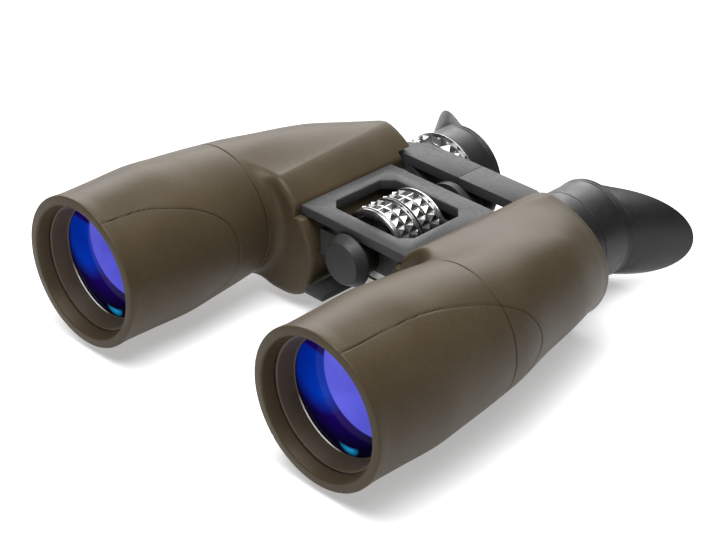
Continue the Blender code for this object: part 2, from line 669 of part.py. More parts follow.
def make_collars():
    """The chrome dioptre ring, and the rubber sleeve in its place on the other eyepiece."""
    bore = TUBE_HEAD_RADIUS + GAP
    ring_centre = (-EYE_X, -EYE_DROP)
    tube("dioptre_ring", bore, DIOPTRE_RADIUS, DIOPTRE_SPAN, ring_centre, "chrome", 32)
    sleeve_centre = (EYE_X, -EYE_DROP)
    tube("ocular_collar_left", bore, COLLAR_RADIUS, COLLAR_SPAN, sleeve_centre, "soft_rubber", 32)


def wing_weight(angle):
    """How far the wing stands out: full on the outer side, nothing on the inner half."""
    return max(math.cos(angle), 0.0)


def make_eyecup(suffix, side):
    """Soft cup with a wing on the outer side that shades the eye from the side."""
    reach = OVERALL_LENGTH - CUP_RIM
    bore = TUBE_HEAD_RADIUS + GAP
    front = CUP_FRONTS[suffix]
    middle = (front + CUP_RIM) / 2
    rings = [[] for _ in range(9)]
    for i in range(WING_POINTS):
        angle = 2.0 * math.pi * i / WING_POINTS
        weight = wing_weight(angle)
        tip = CUP_RIM + reach * weight
        half = (CUP_RIM + tip) / 2
        sweep, swell = WING_FLARE * weight, 0.5 * WING_FLARE * weight
        inside = WING_RADIUS - CUP_WALL
        outline = ((bore, front, 0.0), (CUP_NECK_RADIUS, front, 0.0),
                   (CUP_NECK_RADIUS + CUP_NECK_SWELL, middle, 0.0),
                   (CUP_RADIUS, CUP_RIM - CUP_RIDGE_WIDTH, 0.0),
                   (WING_RADIUS, half, swell), (WING_RADIUS, tip, sweep), (inside, tip, sweep),
                   (inside, half, swell), (bore + CUP_SEAT, CUP_RIM - CUP_WALL, 0.0))
        for ring, (radius, station, flare) in zip(rings, outline):
            x = EYE_X + radius * math.cos(angle) + flare
            ring.append(place(side * x, station, -EYE_DROP + radius * math.sin(angle)))
    name = f"eyecup_{suffix}"
    add_object(name, lofted(rings, name, closed=True), "soft_rubber")


# ---------------------------------------------------------------- assembly

def hang_on_pivot(name, x, station, height, members):
    """Parent the named pieces to an empty that stands on their joint's axis."""
    pivot = bpy.data.objects.new(name, None)
    pivot.location = place(x, station, height)
    PARTS.objects.link(pivot)
    for member in members:
        item = PARTS.objects[member]
        item.parent = pivot
        item.matrix_parent_inverse = Matrix.Translation(pivot.location).inverted()


def make_pivots():
    """Every moving group of pieces hangs on a point of the axis that it turns about or slides along."""
    barrel = ["armour", "housing", "objective_cell", "objective_lens", "objective_ring",
              "prism_front", "prism_rear", "prism_shelf", "rear_cover", "hinge_lug_front",
              "hinge_lug_rear", "frame_rail"]
    eyepiece = ["ocular_tube", "field_lens", "field_stop", "eye_lens"]
    left_half = [f"{name}_left" for name in barrel]
    hang_on_pivot("fold_pivot", 0.0, AXLE_SPAN[0], 0.0, left_half)
    carriage = ["focus_spindle", "spindle_nut", "bridge_arm_right", "bridge_arm_left"]
    hang_on_pivot("focus_pivot", 0.0, BRIDGE_SPAN[1], 0.0, carriage)
    for suffix, side in SIDES.items():
        pieces = [f"{name}_{suffix}" for name in eyepiece]
        hang_on_pivot(f"ocular_pivot_{suffix}", side * EYE_X, TUBE_SHOULDER, -EYE_DROP, pieces)
        cup = f"eyecup_{suffix}"
        hang_on_pivot(f"eyecup_pivot_{suffix}", side * EYE_X, CUP_FRONTS[suffix], -EYE_DROP, [cup])


def build():
    for suffix, side in SIDES.items():
        make_armour(f"armour_{suffix}", side)
        make_housing(f"housing_{suffix}", side)
        make_objective(suffix, side)
        make_prisms(suffix, side)
        make_shelf(suffix, side)
        make_rear_cover(suffix, side)
        make_ocular(suffix, side)
        make_eyecup(suffix, side)
    middle = (BRIDGE_SPAN[0] + BRIDGE_SPAN[1]) / 2
    make_bridge_arm("right", -1.0, (BRIDGE_SPAN[0], middle - SEAM))
    make_bridge_arm("left", 1.0, (middle + SEAM, BRIDGE_SPAN[1]))
    make_top_plate()
    make_hinge()
    make_tripod_cap()
    make_rails()
    make_focus_wheel()
    make_spindle()
    make_collars()
    make_pivots()


clear_scene()
PARTS = new_collection("binoculars")
CUTTERS = new_collection("cutters")
MATERIALS = make_materials()
build()
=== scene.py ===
"""Looks of the porro-prism binoculars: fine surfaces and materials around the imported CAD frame.

Lengths are in metres in the CAD frame: +X is the user's left-hand side, +Y runs from the
objectives to the eyepieces and the ground is at Z = 0.  A station is a distance back from the
front of the objective rims, and a height is measured from the shared objective axis height.
"""

import json
import math

import bmesh
import bpy
import numpy as np
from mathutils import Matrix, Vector


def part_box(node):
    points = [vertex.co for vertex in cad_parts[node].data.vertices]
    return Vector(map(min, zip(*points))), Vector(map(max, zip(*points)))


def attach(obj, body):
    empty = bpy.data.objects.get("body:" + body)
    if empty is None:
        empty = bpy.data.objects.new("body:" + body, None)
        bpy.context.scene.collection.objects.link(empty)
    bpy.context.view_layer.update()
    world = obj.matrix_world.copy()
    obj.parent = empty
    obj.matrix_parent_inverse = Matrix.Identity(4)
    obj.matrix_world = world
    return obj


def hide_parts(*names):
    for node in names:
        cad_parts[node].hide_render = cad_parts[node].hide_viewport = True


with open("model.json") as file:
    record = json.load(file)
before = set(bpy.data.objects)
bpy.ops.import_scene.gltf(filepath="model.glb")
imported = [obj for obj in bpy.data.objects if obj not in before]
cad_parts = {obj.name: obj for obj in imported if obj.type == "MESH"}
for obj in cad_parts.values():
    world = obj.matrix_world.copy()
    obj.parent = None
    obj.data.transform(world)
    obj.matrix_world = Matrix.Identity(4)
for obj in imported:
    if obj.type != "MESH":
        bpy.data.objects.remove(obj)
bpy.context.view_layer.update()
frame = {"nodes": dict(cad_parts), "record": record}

MM = 0.001
SIDES = {"right": -1.0, "left": 1.0}


# ---------------------------------------------------------------- places read from the frame

def middle_of(node):
    low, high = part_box(node)
    return (low + high) / 2


def span_of(node):
    """First and last station of a CAD node."""
    low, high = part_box(node)
    return low.y - FRONT_Y, high.y - FRONT_Y


FRONT_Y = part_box("armour_left")[0].y
OBJECTIVE = middle_of("objective_lens_left")
EYEPIECE = middle_of("ocular_tube_left")
AXIS_HEIGHT = OBJECTIVE.z
OBJECTIVE_X = OBJECTIVE.x
EYE_X = EYEPIECE.x
EYE_DROP = AXIS_HEIGHT - EYEPIECE.z


def place(x, station, height):
    return Vector((x, FRONT_Y + station, AXIS_HEIGHT + height))


# ---------------------------------------------------------------- mesh helpers

def add_object(name, mesh, material=None):
    item = bpy.data.objects.new(name, mesh)
    bpy.context.scene.collection.objects.link(item)
    if material is not None:
        mesh.materials.clear()
        mesh.materials.append(material)
    return item


def mesh_from(points, faces, name):
    mesh = bpy.data.meshes.new(name)
    mesh.from_pydata(points, [], faces)
    mesh.validate()
    return mesh


def shade(mesh, angle=35.0):
    mesh.shade_smooth()
    mesh.set_sharp_from_angle(angle=math.radians(angle))


def face_out(mesh):
    """Turn every face of a closed mesh outwards."""
    work = bmesh.new()
    work.from_mesh(mesh)
    bmesh.ops.recalc_face_normals(work, faces=work.faces)
    work.to_mesh(mesh)
    work.free()


def merge_doubles(mesh):
    """Join points that fall together, drop the faces this leaves empty and face the rest outwards."""
    work = bmesh.new()
    work.from_mesh(mesh)
    bmesh.ops.remove_doubles(work, verts=work.verts, dist=1e-7)
    bmesh.ops.dissolve_degenerate(work, edges=work.edges, dist=1e-8)
    bmesh.ops.recalc_face_normals(work, faces=work.faces)
    work.to_mesh(mesh)
    work.free()


def strip_faces(rows, count, closed_rows=False):
    """Quads between successive rings of count points each."""
    first = np.arange(rows if closed_rows else rows - 1)
    i, j = np.meshgrid(first, np.arange(count), indexing="ij")
    here = i * count
    below = (i + 1) % rows * count
    right = (j + 1) % count
    quads = np.stack([here + j, here + right, below + right, below + j], -1)
    return quads.reshape(-1, 4).tolist()


def lofted(rings, name, closed=False):
    """Closed mesh through rings of equal point counts, capped unless its rings close on themselves."""
    rings = np.asarray(rings, float)
    rows, count = rings.shape[:2]
    faces = strip_faces(rows, count, closed)
    if not closed:
        faces.append(list(range(count)))
        faces.append(list(range((rows - 1) * count, rows * count)))
    mesh = mesh_from(rings.reshape(-1, 3).tolist(), faces, name)
    face_out(mesh)
    return mesh


ARC_STEPS = 4
SIDE_SHARE = 0.45                   # how much of a side one corner's arc may take


def rounded_corners(points, radius):
    """A closed outline with its corners replaced by arcs; points are (u, v, share of the radius)."""
    out = []
    total = len(points)
    for i, (u, v, share) in enumerate(points):
        here = np.array((u, v), float)
        back = np.array(points[i - 1][:2], float) - here
        ahead = np.array(points[(i + 1) % total][:2], float) - here
        reach = radius * share
        if reach == 0.0:
            out.append(tuple(here))
            continue
        before, after = np.linalg.norm(back), np.linalg.norm(ahead)
        reach = min(reach, SIDE_SHARE * before, SIDE_SHARE * after)
        start = here + back / before * reach
        end = here + ahead / after * reach
        for t in np.linspace(0.0, 1.0, ARC_STEPS + 1):
            out.append(tuple((1 - t) ** 2 * start + 2 * t * (1 - t) * here + t ** 2 * end))
    return out


def turned(name, outline, centre, round_radius=0.35 * MM, segments=96):
    """Solid of revolution about a line along Y; outline is a closed loop of (radius, station) in mm.

    Points on the axis (radius 0) stay sharp and close the solid there.
    """
    marked = [(r * MM, s * MM, 0.0 if r == 0.0 else 1.0) for r, s in outline]
    profile = rounded_corners(marked, round_radius)
    angles = np.linspace(0.0, 2.0 * math.pi, segments, endpoint=False)
    radius = np.array([p[0] for p in profile])
    station = np.array([p[1] for p in profile])
    x = centre.x + radius[:, None] * np.cos(angles)
    z = centre.z + radius[:, None] * np.sin(angles)
    y = np.broadcast_to(FRONT_Y + station[:, None], x.shape)
    rings = np.stack([x, y, z], -1)
    mesh = mesh_from(rings.reshape(-1, 3).tolist(), strip_faces(len(profile), segments, True), name)
    merge_doubles(mesh)
    shade(mesh)
    return mesh


def prism(outline, low, high, axis, name):
    """Extrude a closed outline; axis "y" takes (x, height) points, axis "z" takes (x, station) points."""
    rings = []
    for level in (low, high):
        if axis == "y":
            rings.append([tuple(place(x, level, v)) for x, v in outline])
        else:
            rings.append([tuple(place(x, v, level)) for x, v in outline])
    return lofted(rings, name)


def spot_around(centre, radius, angle, station):
    """A point at an angle round a line along Y."""
    return (centre.x + radius * math.cos(angle), FRONT_Y + station, centre.z + radius * math.sin(angle))


def rod(radius, span, centre, name, segments=96):
    angles = np.linspace(0.0, 2.0 * math.pi, segments, endpoint=False)
    rings = [[spot_around(centre, radius, angle, station) for angle in angles] for station in span]
    return lofted(rings, name)


def box(low, high, name):
    xs, ys, zs = zip(low, high)
    outline = [(xs[0], ys[0]), (xs[1], ys[0]), (xs[1], ys[1]), (xs[0], ys[1])]
    rings = [[(x, y, z) for x, y in outline] for z in zs]
    return lofted(rings, name)


def combined(item, meshes, operation="DIFFERENCE"):
    """Apply a Boolean of each closed mesh to the item, and keep only the result."""
    for mesh in meshes:
        other = add_object(f"tool_{mesh.name}", mesh)
        step = item.modifiers.new("boolean", "BOOLEAN")
        step.operation = operation
        step.solver = "MANIFOLD"
        step.object = other
        bake(item)
        bpy.data.objects.remove(other, do_unlink=True)


def bake(item):
    """Replace the item's mesh by its evaluated one, with no modifier left."""
    bpy.context.view_layer.update()
    evaluated = item.evaluated_get(bpy.context.evaluated_depsgraph_get())
    mesh = bpy.data.meshes.new_from_object(evaluated)
    item.modifiers.clear()
    item.data = mesh


def bevel(item, width):
    """Round the item's sharp edges."""
    step = item.modifiers.new("bevel", "BEVEL")
    step.width = width
    step.segments = 3
    step.limit_method = "ANGLE"
    step.angle_limit = math.radians(30.0)
    step.harden_normals = False
    bake(item)


def joined(name, meshes, material):
    """One object from several meshes."""
    work = bmesh.new()
    for mesh in meshes:
        work.from_mesh(mesh)
    mesh = bpy.data.meshes.new(name)
    work.to_mesh(mesh)
    work.free()
    return add_object(name, mesh, material)


def piece(item, body, node):
    """Put a finished piece on its body in place of its CAD node."""
    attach(item, body)
    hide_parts(node)


# ---------------------------------------------------------------- materials

class Shader:
    """A Principled material whose sockets are fed by a few procedural nodes."""

    def __init__(self, name, roughness=0.5, metallic=0.0, specular=0.5):
        self.material = bpy.data.materials.new(name)
        self.material.use_nodes = True
        self.tree = self.material.node_tree
        self.shader = self.tree.nodes["Principled BSDF"]
        self.shader.inputs["Roughness"].default_value = roughness
        self.shader.inputs["Metallic"].default_value = metallic
        self.shader.inputs["Specular IOR Level"].default_value = specular
        self.place = self.node("ShaderNodeTexCoord").outputs["Object"]
        self.height = None

    def node(self, kind, **settings):
        made = self.tree.nodes.new(kind)
        for key, value in settings.items():
            setattr(made, key, value)
        return made

    def link(self, source, target):
        self.tree.links.new(source, target)

    def feed(self, socket, value):
        """Set a socket to a number or a colour, or link it to another node's output."""
        if isinstance(value, (int, float)):
            socket.default_value = value
        elif isinstance(value, tuple):
            socket.default_value = (*value, 1.0)
        else:
            self.link(value, socket)

    def stretched(self, scale):
        mapping = self.node("ShaderNodeMapping")
        mapping.inputs["Scale"].default_value = scale
        self.link(self.place, mapping.inputs["Vector"])
        return mapping.outputs["Vector"]

    def noise(self, scale, detail=3.0, stretch=None, roughness=0.5):
        made = self.node("ShaderNodeTexNoise")
        made.inputs["Scale"].default_value = scale
        made.inputs["Detail"].default_value = detail
        made.inputs["Roughness"].default_value = roughness
        self.link(self.stretched(stretch) if stretch else self.place, made.inputs["Vector"])
        return made.outputs["Fac"]

    def grain(self, scale):
        """Small pebbled cells."""
        made = self.node("ShaderNodeTexVoronoi", feature="SMOOTH_F1")
        made.inputs["Scale"].default_value = scale
        made.inputs["Smoothness"].default_value = 0.6
        self.link(self.place, made.inputs["Vector"])
        return made.outputs["Distance"]

    def ramp(self, source, low, high, at=(0.3, 0.7)):
        """Map a value to a colour between two ends."""
        made = self.node("ShaderNodeValToRGB")
        ends = made.color_ramp.elements
        ends[0].position, ends[1].position = at
        ends[0].color = (*low, 1.0)
        ends[1].color = (*high, 1.0)
        self.link(source, made.inputs["Fac"])
        return made.outputs["Color"]

    def span(self, source, low, high, at=(0.0, 1.0)):
        """Map a value to a number between two ends."""
        made = self.node("ShaderNodeMapRange")
        made.inputs["From Min"].default_value = at[0]
        made.inputs["From Max"].default_value = at[1]
        made.inputs["To Min"].default_value = low
        made.inputs["To Max"].default_value = high
        self.link(source, made.inputs["Value"])
        return made.outputs["Result"]

    def mix(self, factor, first, second, blend="MIX"):
        made = self.node("ShaderNodeMix", data_type="RGBA", blend_type=blend)
        self.feed(made.inputs[0], factor)
        self.feed(made.inputs[6], first)
        self.feed(made.inputs[7], second)
        return made.outputs[2]

    def math(self, operation, first, second):
        made = self.node("ShaderNodeMath", operation=operation)
        self.feed(made.inputs[0], first)
        self.feed(made.inputs[1], second)
        return made.outputs[0]

    def attribute(self, name):
        return self.node("ShaderNodeAttribute", attribute_name=name).outputs["Fac"]

    def colour(self, source):
        self.link(source, self.shader.inputs["Base Color"])

    def roughness(self, source):
        self.link(source, self.shader.inputs["Roughness"])

    def bump(self, source, depth, strength=1.0):
        """Add a layer of bump; depth is the real height of the texture in metres."""
        made = self.node("ShaderNodeBump")
        made.inputs["Strength"].default_value = strength
        made.inputs["Distance"].default_value = depth
        self.link(source, made.inputs["Height"])
        if self.height is not None:
            self.link(self.height, made.inputs["Normal"])
        self.height = made.outputs["Normal"]
        self.link(self.height, self.shader.inputs["Normal"])


def band(made, source, low, high, soft):
    """1 inside low..high of a value, fading over soft at both ends."""
    rise = made.span(source, 0.0, 1.0, (low - soft, low + soft))
    fall = made.span(source, 1.0, 0.0, (high - soft, high + soft))
    return made.math("MULTIPLY", rise, fall)


def distance_from(made, centre):
    """Distance across the lens, in lens radii, from a centre given in lens radii."""
    place_across = made.node("ShaderNodeAttribute", attribute_name="lens_place")
    shift = made.node("ShaderNodeVectorMath", operation="SUBTRACT")
    shift.inputs[1].default_value = (centre[0], 0.0, centre[1])
    made.link(place_across.outputs["Vector"], shift.inputs[0])
    length = made.node("ShaderNodeVectorMath", operation="LENGTH")
    made.link(shift.outputs[0], length.inputs[0])
    return length.outputs["Value"]


def disc(made, centre, inner, outer):
    """1 within the inner radius of a centre, fading to 0 at the outer one, all in lens radii."""
    return made.span(distance_from(made, centre), 1.0, 0.0, (inner, outer))


def armour_rubber():
    """Olive-brown rubber armour: matt, pebbled, with painted shade darkening its grooves and paler worn
    patches.
    """
    made = Shader("armour_rubber", specular=0.17)
    made.shader.inputs["Specular Tint"].default_value = (1.0, 0.93, 0.82, 1.0)
    cloud = made.noise(28.0, 4.0)
    fine = made.noise(900.0, 3.0)
    base = made.ramp(cloud, (0.043, 0.031, 0.017), (0.054, 0.040, 0.023), (0.35, 0.65))
    speck = made.ramp(fine, (0.92, 0.92, 0.92), (1.05, 1.05, 1.05), (0.35, 0.65))
    worn = made.mix(1.0, base, speck, "MULTIPLY")
    # Painted shade: the colour turns near-black brown along the grooves, where shade falls in the recess.
    line = made.span(made.attribute("groove"), 1.0, 0.1, (0.58, 0.90))
    made.colour(made.mix(line, (0.016, 0.011, 0.007), worn))
    made.roughness(made.span(cloud, 0.40, 0.48, (0.3, 0.7)))
    made.bump(made.grain(1900.0), 0.00005, 0.35)
    made.bump(made.noise(130.0, 2.0), 0.00012, 0.5)
    return made.material


def eye_rubber():
    """Softer dark grey rubber of the eyecups and the shroud around the eyepiece."""
    made = Shader("eye_rubber", specular=0.34)
    cloud = made.noise(40.0, 4.0)
    made.colour(made.ramp(cloud, (0.008, 0.008, 0.008), (0.012, 0.012, 0.012)))
    made.roughness(made.span(made.noise(300.0, 3.0), 0.36, 0.46, (0.3, 0.7)))
    made.bump(made.grain(2400.0), 0.00005, 0.4)
    made.bump(made.noise(90.0, 2.0), 0.00010, 0.4)
    return made.material


def grey_paint():
    """Satin grey paint on the die-cast plate and bridge."""
    made = Shader("grey_paint", specular=0.12)
    cloud = made.noise(22.0, 5.0)
    base = made.ramp(cloud, (0.034, 0.034, 0.034), (0.043, 0.043, 0.043))
    speck = made.ramp(made.noise(1500.0, 2.0), (0.90, 0.90, 0.90), (1.10, 1.10, 1.10), (0.35, 0.65))
    made.colour(made.mix(1.0, base, speck, "MULTIPLY"))
    made.roughness(made.span(made.noise(500.0, 3.0), 0.36, 0.50, (0.3, 0.7)))
    made.bump(made.noise(2200.0, 2.0), 0.00004, 0.5)
    return made.material


def dark_paint():
    """Dark grey paint on the tripod cap, the hinge axle and the frame rails."""
    made = Shader("dark_paint", metallic=0.2, specular=0.22)
    cloud = made.noise(60.0, 5.0)
    made.colour(made.ramp(cloud, (0.022, 0.022, 0.022), (0.032, 0.032, 0.032)))
    made.roughness(made.span(made.noise(400.0, 3.0), 0.38, 0.52, (0.3, 0.7)))
    made.bump(made.noise(1800.0, 2.0), 0.00004, 0.5)
    return made.material


def black_alloy():
    """Matt black finish of the housings, hinge lugs and eyepiece tubes."""
    made = Shader("black_alloy", specular=0.4)
    cloud = made.noise(80.0, 4.0)
    made.colour(made.ramp(cloud, (0.010, 0.009, 0.008), (0.018, 0.016, 0.014)))
    made.roughness(made.span(made.noise(700.0, 2.0), 0.50, 0.68, (0.3, 0.7)))
    made.bump(made.noise(2600.0, 2.0), 0.00003, 0.4)
    return made.material


def hood_coating():
    """Dark brown coating on the cone in front of the lens, with a painted highlight on one part of its
    inner edge.
    """
    made = Shader("hood_coating", specular=0.2)
    cloud = made.noise(60.0, 4.0)
    base = made.ramp(cloud, (0.062, 0.044, 0.030), (0.082, 0.060, 0.042))
    # Painted highlight: a pale arc on the lower left of the inner edge, standing in for light caught by a
    # polished edge.
    inner_edge = band(made, distance_from(made, (0.0, 0.0)), 0.99, 1.011, 0.003)
    painted_highlight_part = disc(made, (-0.56, -0.86), 0.30, 0.60)
    made.colour(made.mix(made.math("MULTIPLY", inner_edge, painted_highlight_part), base, (0.95, 0.93, 0.90)))
    made.roughness(made.span(made.noise(500.0, 3.0), 0.40, 0.54, (0.3, 0.7)))
    made.bump(made.noise(2000.0, 2.0), 0.00004, 0.5)
    return made.material


def bright_chrome():
    """Polished metal of the knurled focus wheel and dioptre ring, with fine scratches and dulled spots."""
    made = Shader("bright_chrome", metallic=1.0)
    cloud = made.noise(90.0, 4.0)
    made.colour(made.ramp(cloud, (0.27, 0.27, 0.265), (0.38, 0.38, 0.375)))
    made.roughness(made.span(made.noise(260.0, 4.0), 0.20, 0.32, (0.35, 0.7)))
    made.bump(made.noise(900.0, 2.0, (1.0, 0.08, 1.0)), 0.00002, 0.35)
    return made.material


def steel():
    """Turned steel with fine lathe marks."""
    made = Shader("steel", metallic=1.0)
    made.colour(made.ramp(made.noise(120.0, 3.0), (0.36, 0.36, 0.37), (0.48, 0.48, 0.49)))
    made.roughness(made.span(made.noise(600.0, 3.0), 0.22, 0.38, (0.3, 0.7)))
    made.bump(made.noise(2400.0, 1.0, (0.05, 1.0, 0.05)), 0.00002, 0.4)
    return made.material


def brass():
    """Brass of the socket and washers, kept dark as painted shade for where it sits under the plate."""
    made = Shader("brass", metallic=1.0)
    # Painted shade: the brass colour is held dark because these parts lie in shade under the plate.
    made.colour(made.ramp(made.noise(150.0, 4.0), (0.14, 0.10, 0.05), (0.22, 0.16, 0.08)))
    made.roughness(made.span(made.noise(500.0, 3.0), 0.22, 0.42, (0.3, 0.7)))
    made.bump(made.noise(1600.0, 2.0), 0.00002, 0.4)
    return made.material


def optical_glass():
    """Clear optical glass with a faint bloom of coating."""
    made = Shader("optical_glass", roughness=0.04)
    made.shader.inputs["Transmission Weight"].default_value = 0.85
    made.shader.inputs["IOR"].default_value = 1.52
    made.colour(made.ramp(made.noise(30.0, 2.0), (0.62, 0.68, 0.78), (0.78, 0.80, 0.90)))
    made.roughness(made.span(made.noise(700.0, 2.0), 0.02, 0.07, (0.3, 0.7)))
    made.bump(made.noise(60.0, 1.0), 0.00001, 0.2)
    return made.material


def coated_glass():
    """Deep dark glass under a blue coating; its navy, cobalt, violet and cyan patches are painted
    reflections laid in crossing arcs.
    """
    made = Shader("coated_glass", specular=0.02)
    cloud = made.noise(45.0, 2.0)
    dark = made.ramp(cloud, (0.001, 0.001, 0.010), (0.004, 0.002, 0.022))
    # Painted reflections: each patch from here on stands in for the surroundings mirrored in the lens,
    # fixed on the glass.
    painted_reflections = made.mix(disc(made, (-0.05, 0.35), 0.70, 1.20), dark, (0.010, 0.001, 0.110))
    cobalt_reflection_round = disc(made, (-0.52, 0.22), 0.40, 0.72)
    cobalt_reflection_top = disc(made, (-0.60, -9.42), 9.97, 10.03)
    cobalt_reflection = made.ramp(cloud, (0.000, 0.020, 0.36), (0.001, 0.042, 0.46))
    painted_reflections = made.mix(made.math("MULTIPLY", cobalt_reflection_round, cobalt_reflection_top), painted_reflections, cobalt_reflection)
    violet_reflection_inside = disc(made, (0.67, 0.60), 0.985, 1.005)
    violet_reflection = made.ramp(cloud, (0.085, 0.085, 0.66), (0.135, 0.140, 0.84))
    painted_reflections = made.mix(violet_reflection_inside, painted_reflections, violet_reflection)
    # Painted highlight: a thin cyan glint crescent low on the lens.
    glint_low = disc(made, (0.16, -0.78), 0.10, 0.22)
    glint_high = made.span(distance_from(made, (0.10, -0.22)), 0.0, 1.0, (0.60, 0.66))
    made.colour(made.mix(made.math("MULTIPLY", glint_low, glint_high), painted_reflections, (0.02, 0.48, 1.0)))
    made.roughness(made.span(made.noise(900.0, 2.0), 0.03, 0.07, (0.3, 0.7)))
    made.bump(made.noise(40.0, 1.0), 0.00002, 0.15)
    return made.material


MATERIALS = {
    "armour_rubber": armour_rubber(),
    "eye_rubber": eye_rubber(),
    "grey_paint": grey_paint(),
    "dark_paint": dark_paint(),
    "black_alloy": black_alloy(),
    "hood_coating": hood_coating(),
    "bright_chrome": bright_chrome(),
    "steel": steel(),
    "brass": brass(),
    "optical_glass": optical_glass(),
    "coated_glass": coated_glass(),
}


# ---------------------------------------------------------------- barrel sections

# Station, axis x, axis height and radius of the barrel, in mm
BARREL_STATIONS = (
    (0.0, 68.8, 0.0, 32.2),
    (0.25, 68.8, 0.0, 32.7),
    (0.8, 68.8, 0.0, 32.9),
    (7.0, 68.8, 0.0, 32.6),
    (20.0, 68.8, 0.0, 32.8),
    (36.0, 68.8, 0.0, 33.2),
    (53.0, 68.8, 0.0, 31.9),
    (68.0, 68.8, 0.0, 30.5),
    (82.0, 68.8, 0.0, 28.9),
    (106.0, 66.2, 0.0, 26.3),
    (129.0, 63.5, -0.8, 24.1),
    (145.0, 60.6, -2.9, 21.8),
    (151.0, 59.3, -4.0, 20.8),
    (154.2, 58.6, -4.6, 20.3),
    (154.7, 58.5, -4.7, 20.0),
    (155.0, 58.4, -4.7, 19.4),
)
HUMP_INNER_X = 20.6 * MM
HUMP_HALF_WIDTHS = (21.3 * MM, 26.9 * MM)
HUMP_MIDDLE = -4.3 * MM
HUMP_HALF_HEIGHT = 27.4 * MM
HUMP_FRONT = 82.5 * MM
HUMP_REAR = 154.8 * MM
HUMP_FRONT_ROUND = 3.6 * MM
HUMP_REAR_ROUND = 2.4 * MM
FRONT_WALL_RATIO = 1.4              # the wall behind the hump's sloping front, against the inset
HUMP_SQUARENESS = 2.6
HUMP_SLOPES = (1.36, 1.58)          # squareness of the upper inner quarter, front and rear
SHOULDER_STATIONS = (137.0 * MM, 148.0 * MM, 153.0 * MM)
SHOULDERS = (2.6, 1.95, 1.6)        # squareness of the upper outer quarter at those stations
BLEND = 7.0 * MM
EDGE_ROUND = 1.0 * MM               # on the ledges' upper edges
PLATE_GAP = 0.3 * MM
LEDGE_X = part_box("top_plate")[1].x + PLATE_GAP
LEDGE_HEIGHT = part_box("top_plate")[0].z - AXIS_HEIGHT - PLATE_GAP
SECTION_CENTRE = (57.0 * MM, -1.0 * MM)     # inside both the barrel and the hump
CENTRE_SHIFT = (50.0 * MM, 80.0 * MM)       # stations between which the centre moves there
REACH_LIMIT = 60.0 * MM
REACH_STEPS = 151
HALVINGS = 14


def monotone_slopes(x, y):
    """Slopes of a smooth curve through the points that adds no bumps of its own."""
    step = np.diff(y) / np.diff(x)
    slopes = np.zeros_like(y)
    same = step[:-1] * step[1:] > 0
    slopes[1:-1][same] = 2.0 * step[:-1][same] * step[1:][same] / (step[:-1] + step[1:])[same]
    slopes[0], slopes[-1] = step[0], step[-1]
    return slopes


STATION_COLUMNS = [np.array(column) * MM for column in zip(*BARREL_STATIONS)]
STATION_SLOPES = [monotone_slopes(STATION_COLUMNS[0], column) for column in STATION_COLUMNS[1:]]


def barrel_circle(station):
    """Axis x, axis height and radius of the barrel at a station."""
    x = STATION_COLUMNS[0]
    i = int(np.clip(np.searchsorted(x, station) - 1, 0, len(x) - 2))
    width = x[i + 1] - x[i]
    t = min(max((station - x[i]) / width, 0.0), 1.0)
    found = []
    for column, slopes in zip(STATION_COLUMNS[1:], STATION_SLOPES):
        smooth = 3 * t * t - 2 * t ** 3
        bend = width * (t * (1 - t) ** 2 * slopes[i] - t * t * (1 - t) * slopes[i + 1])
        found.append(float(column[i] + smooth * (column[i + 1] - column[i]) + bend))
    return found


def soft_max(first, second, width):
    """Larger of two depths, with the edge between them rounded."""
    near = np.maximum(width - np.abs(first - second), 0.0) / width
    return np.maximum(first, second) + near * near * width / 4.0


def soft_min(first, second, width):
    return -soft_max(-first, -second, width)


def section_depth(x, z, station, inset=0.0):
    """Signed depth at (x, z): negative inside the smooth union of barrel and hump."""
    centre, level, radius = barrel_circle(station)
    union = np.hypot(x - centre, z - level) - (radius - inset)
    if HUMP_FRONT - BLEND < station < HUMP_REAR + BLEND:
        full = float(np.interp(station, (HUMP_FRONT, HUMP_REAR), HUMP_HALF_WIDTHS))
        slope = float(np.interp(station, (HUMP_FRONT, HUMP_REAR), HUMP_SLOPES))
        across = (x - HUMP_INNER_X - full) / (full - inset)
        upward = (z - HUMP_MIDDLE) / (HUMP_HALF_HEIGHT - inset)
        shoulder = float(np.interp(station, SHOULDER_STATIONS, SHOULDERS))
        power = np.where(upward > 0, np.where(across < 0, slope, shoulder), HUMP_SQUARENESS)
        rounded = (np.abs(across) ** power + np.abs(upward) ** power) ** (1.0 / power)
        hump = (rounded - 1.0) * (full - inset)
        hump = soft_max(hump, HUMP_FRONT + FRONT_WALL_RATIO * inset - station, HUMP_FRONT_ROUND)
        hump = soft_max(hump, station - HUMP_REAR, HUMP_REAR_ROUND)
        union = soft_min(union, hump, BLEND)
    ledge = np.minimum(LEDGE_X + inset - x, z - LEDGE_HEIGHT + inset)
    return soft_max(union, ledge, EDGE_ROUND)


def section_reach(station, angles, inset=0.0):
    """Centre of a section, and how far the surface lies from it at each angle."""
    centre_x = float(np.interp(station, CENTRE_SHIFT, (OBJECTIVE_X, SECTION_CENTRE[0])))
    centre_z = float(np.interp(station, CENTRE_SHIFT, (0.0, SECTION_CENTRE[1])))
    cosine, sine = np.cos(angles), np.sin(angles)
    reach = np.linspace(0.0, REACH_LIMIT, REACH_STEPS)[:, None]
    inside = section_depth(centre_x + reach * cosine, centre_z + reach * sine, station, inset) < 0
    last = inside.shape[0] - 1 - np.argmax(inside[::-1], axis=0)
    low, high = reach[last, 0], reach[np.minimum(last + 1, len(reach) - 1), 0]
    for _ in range(HALVINGS):
        middle = (low + high) / 2
        held = section_depth(centre_x + middle * cosine, centre_z + middle * sine, station, inset) < 0
        low, high = np.where(held, middle, low), np.where(held, high, middle)
    return centre_x, centre_z, (low + high) / 2


# ---------------------------------------------------------------- armour grooves

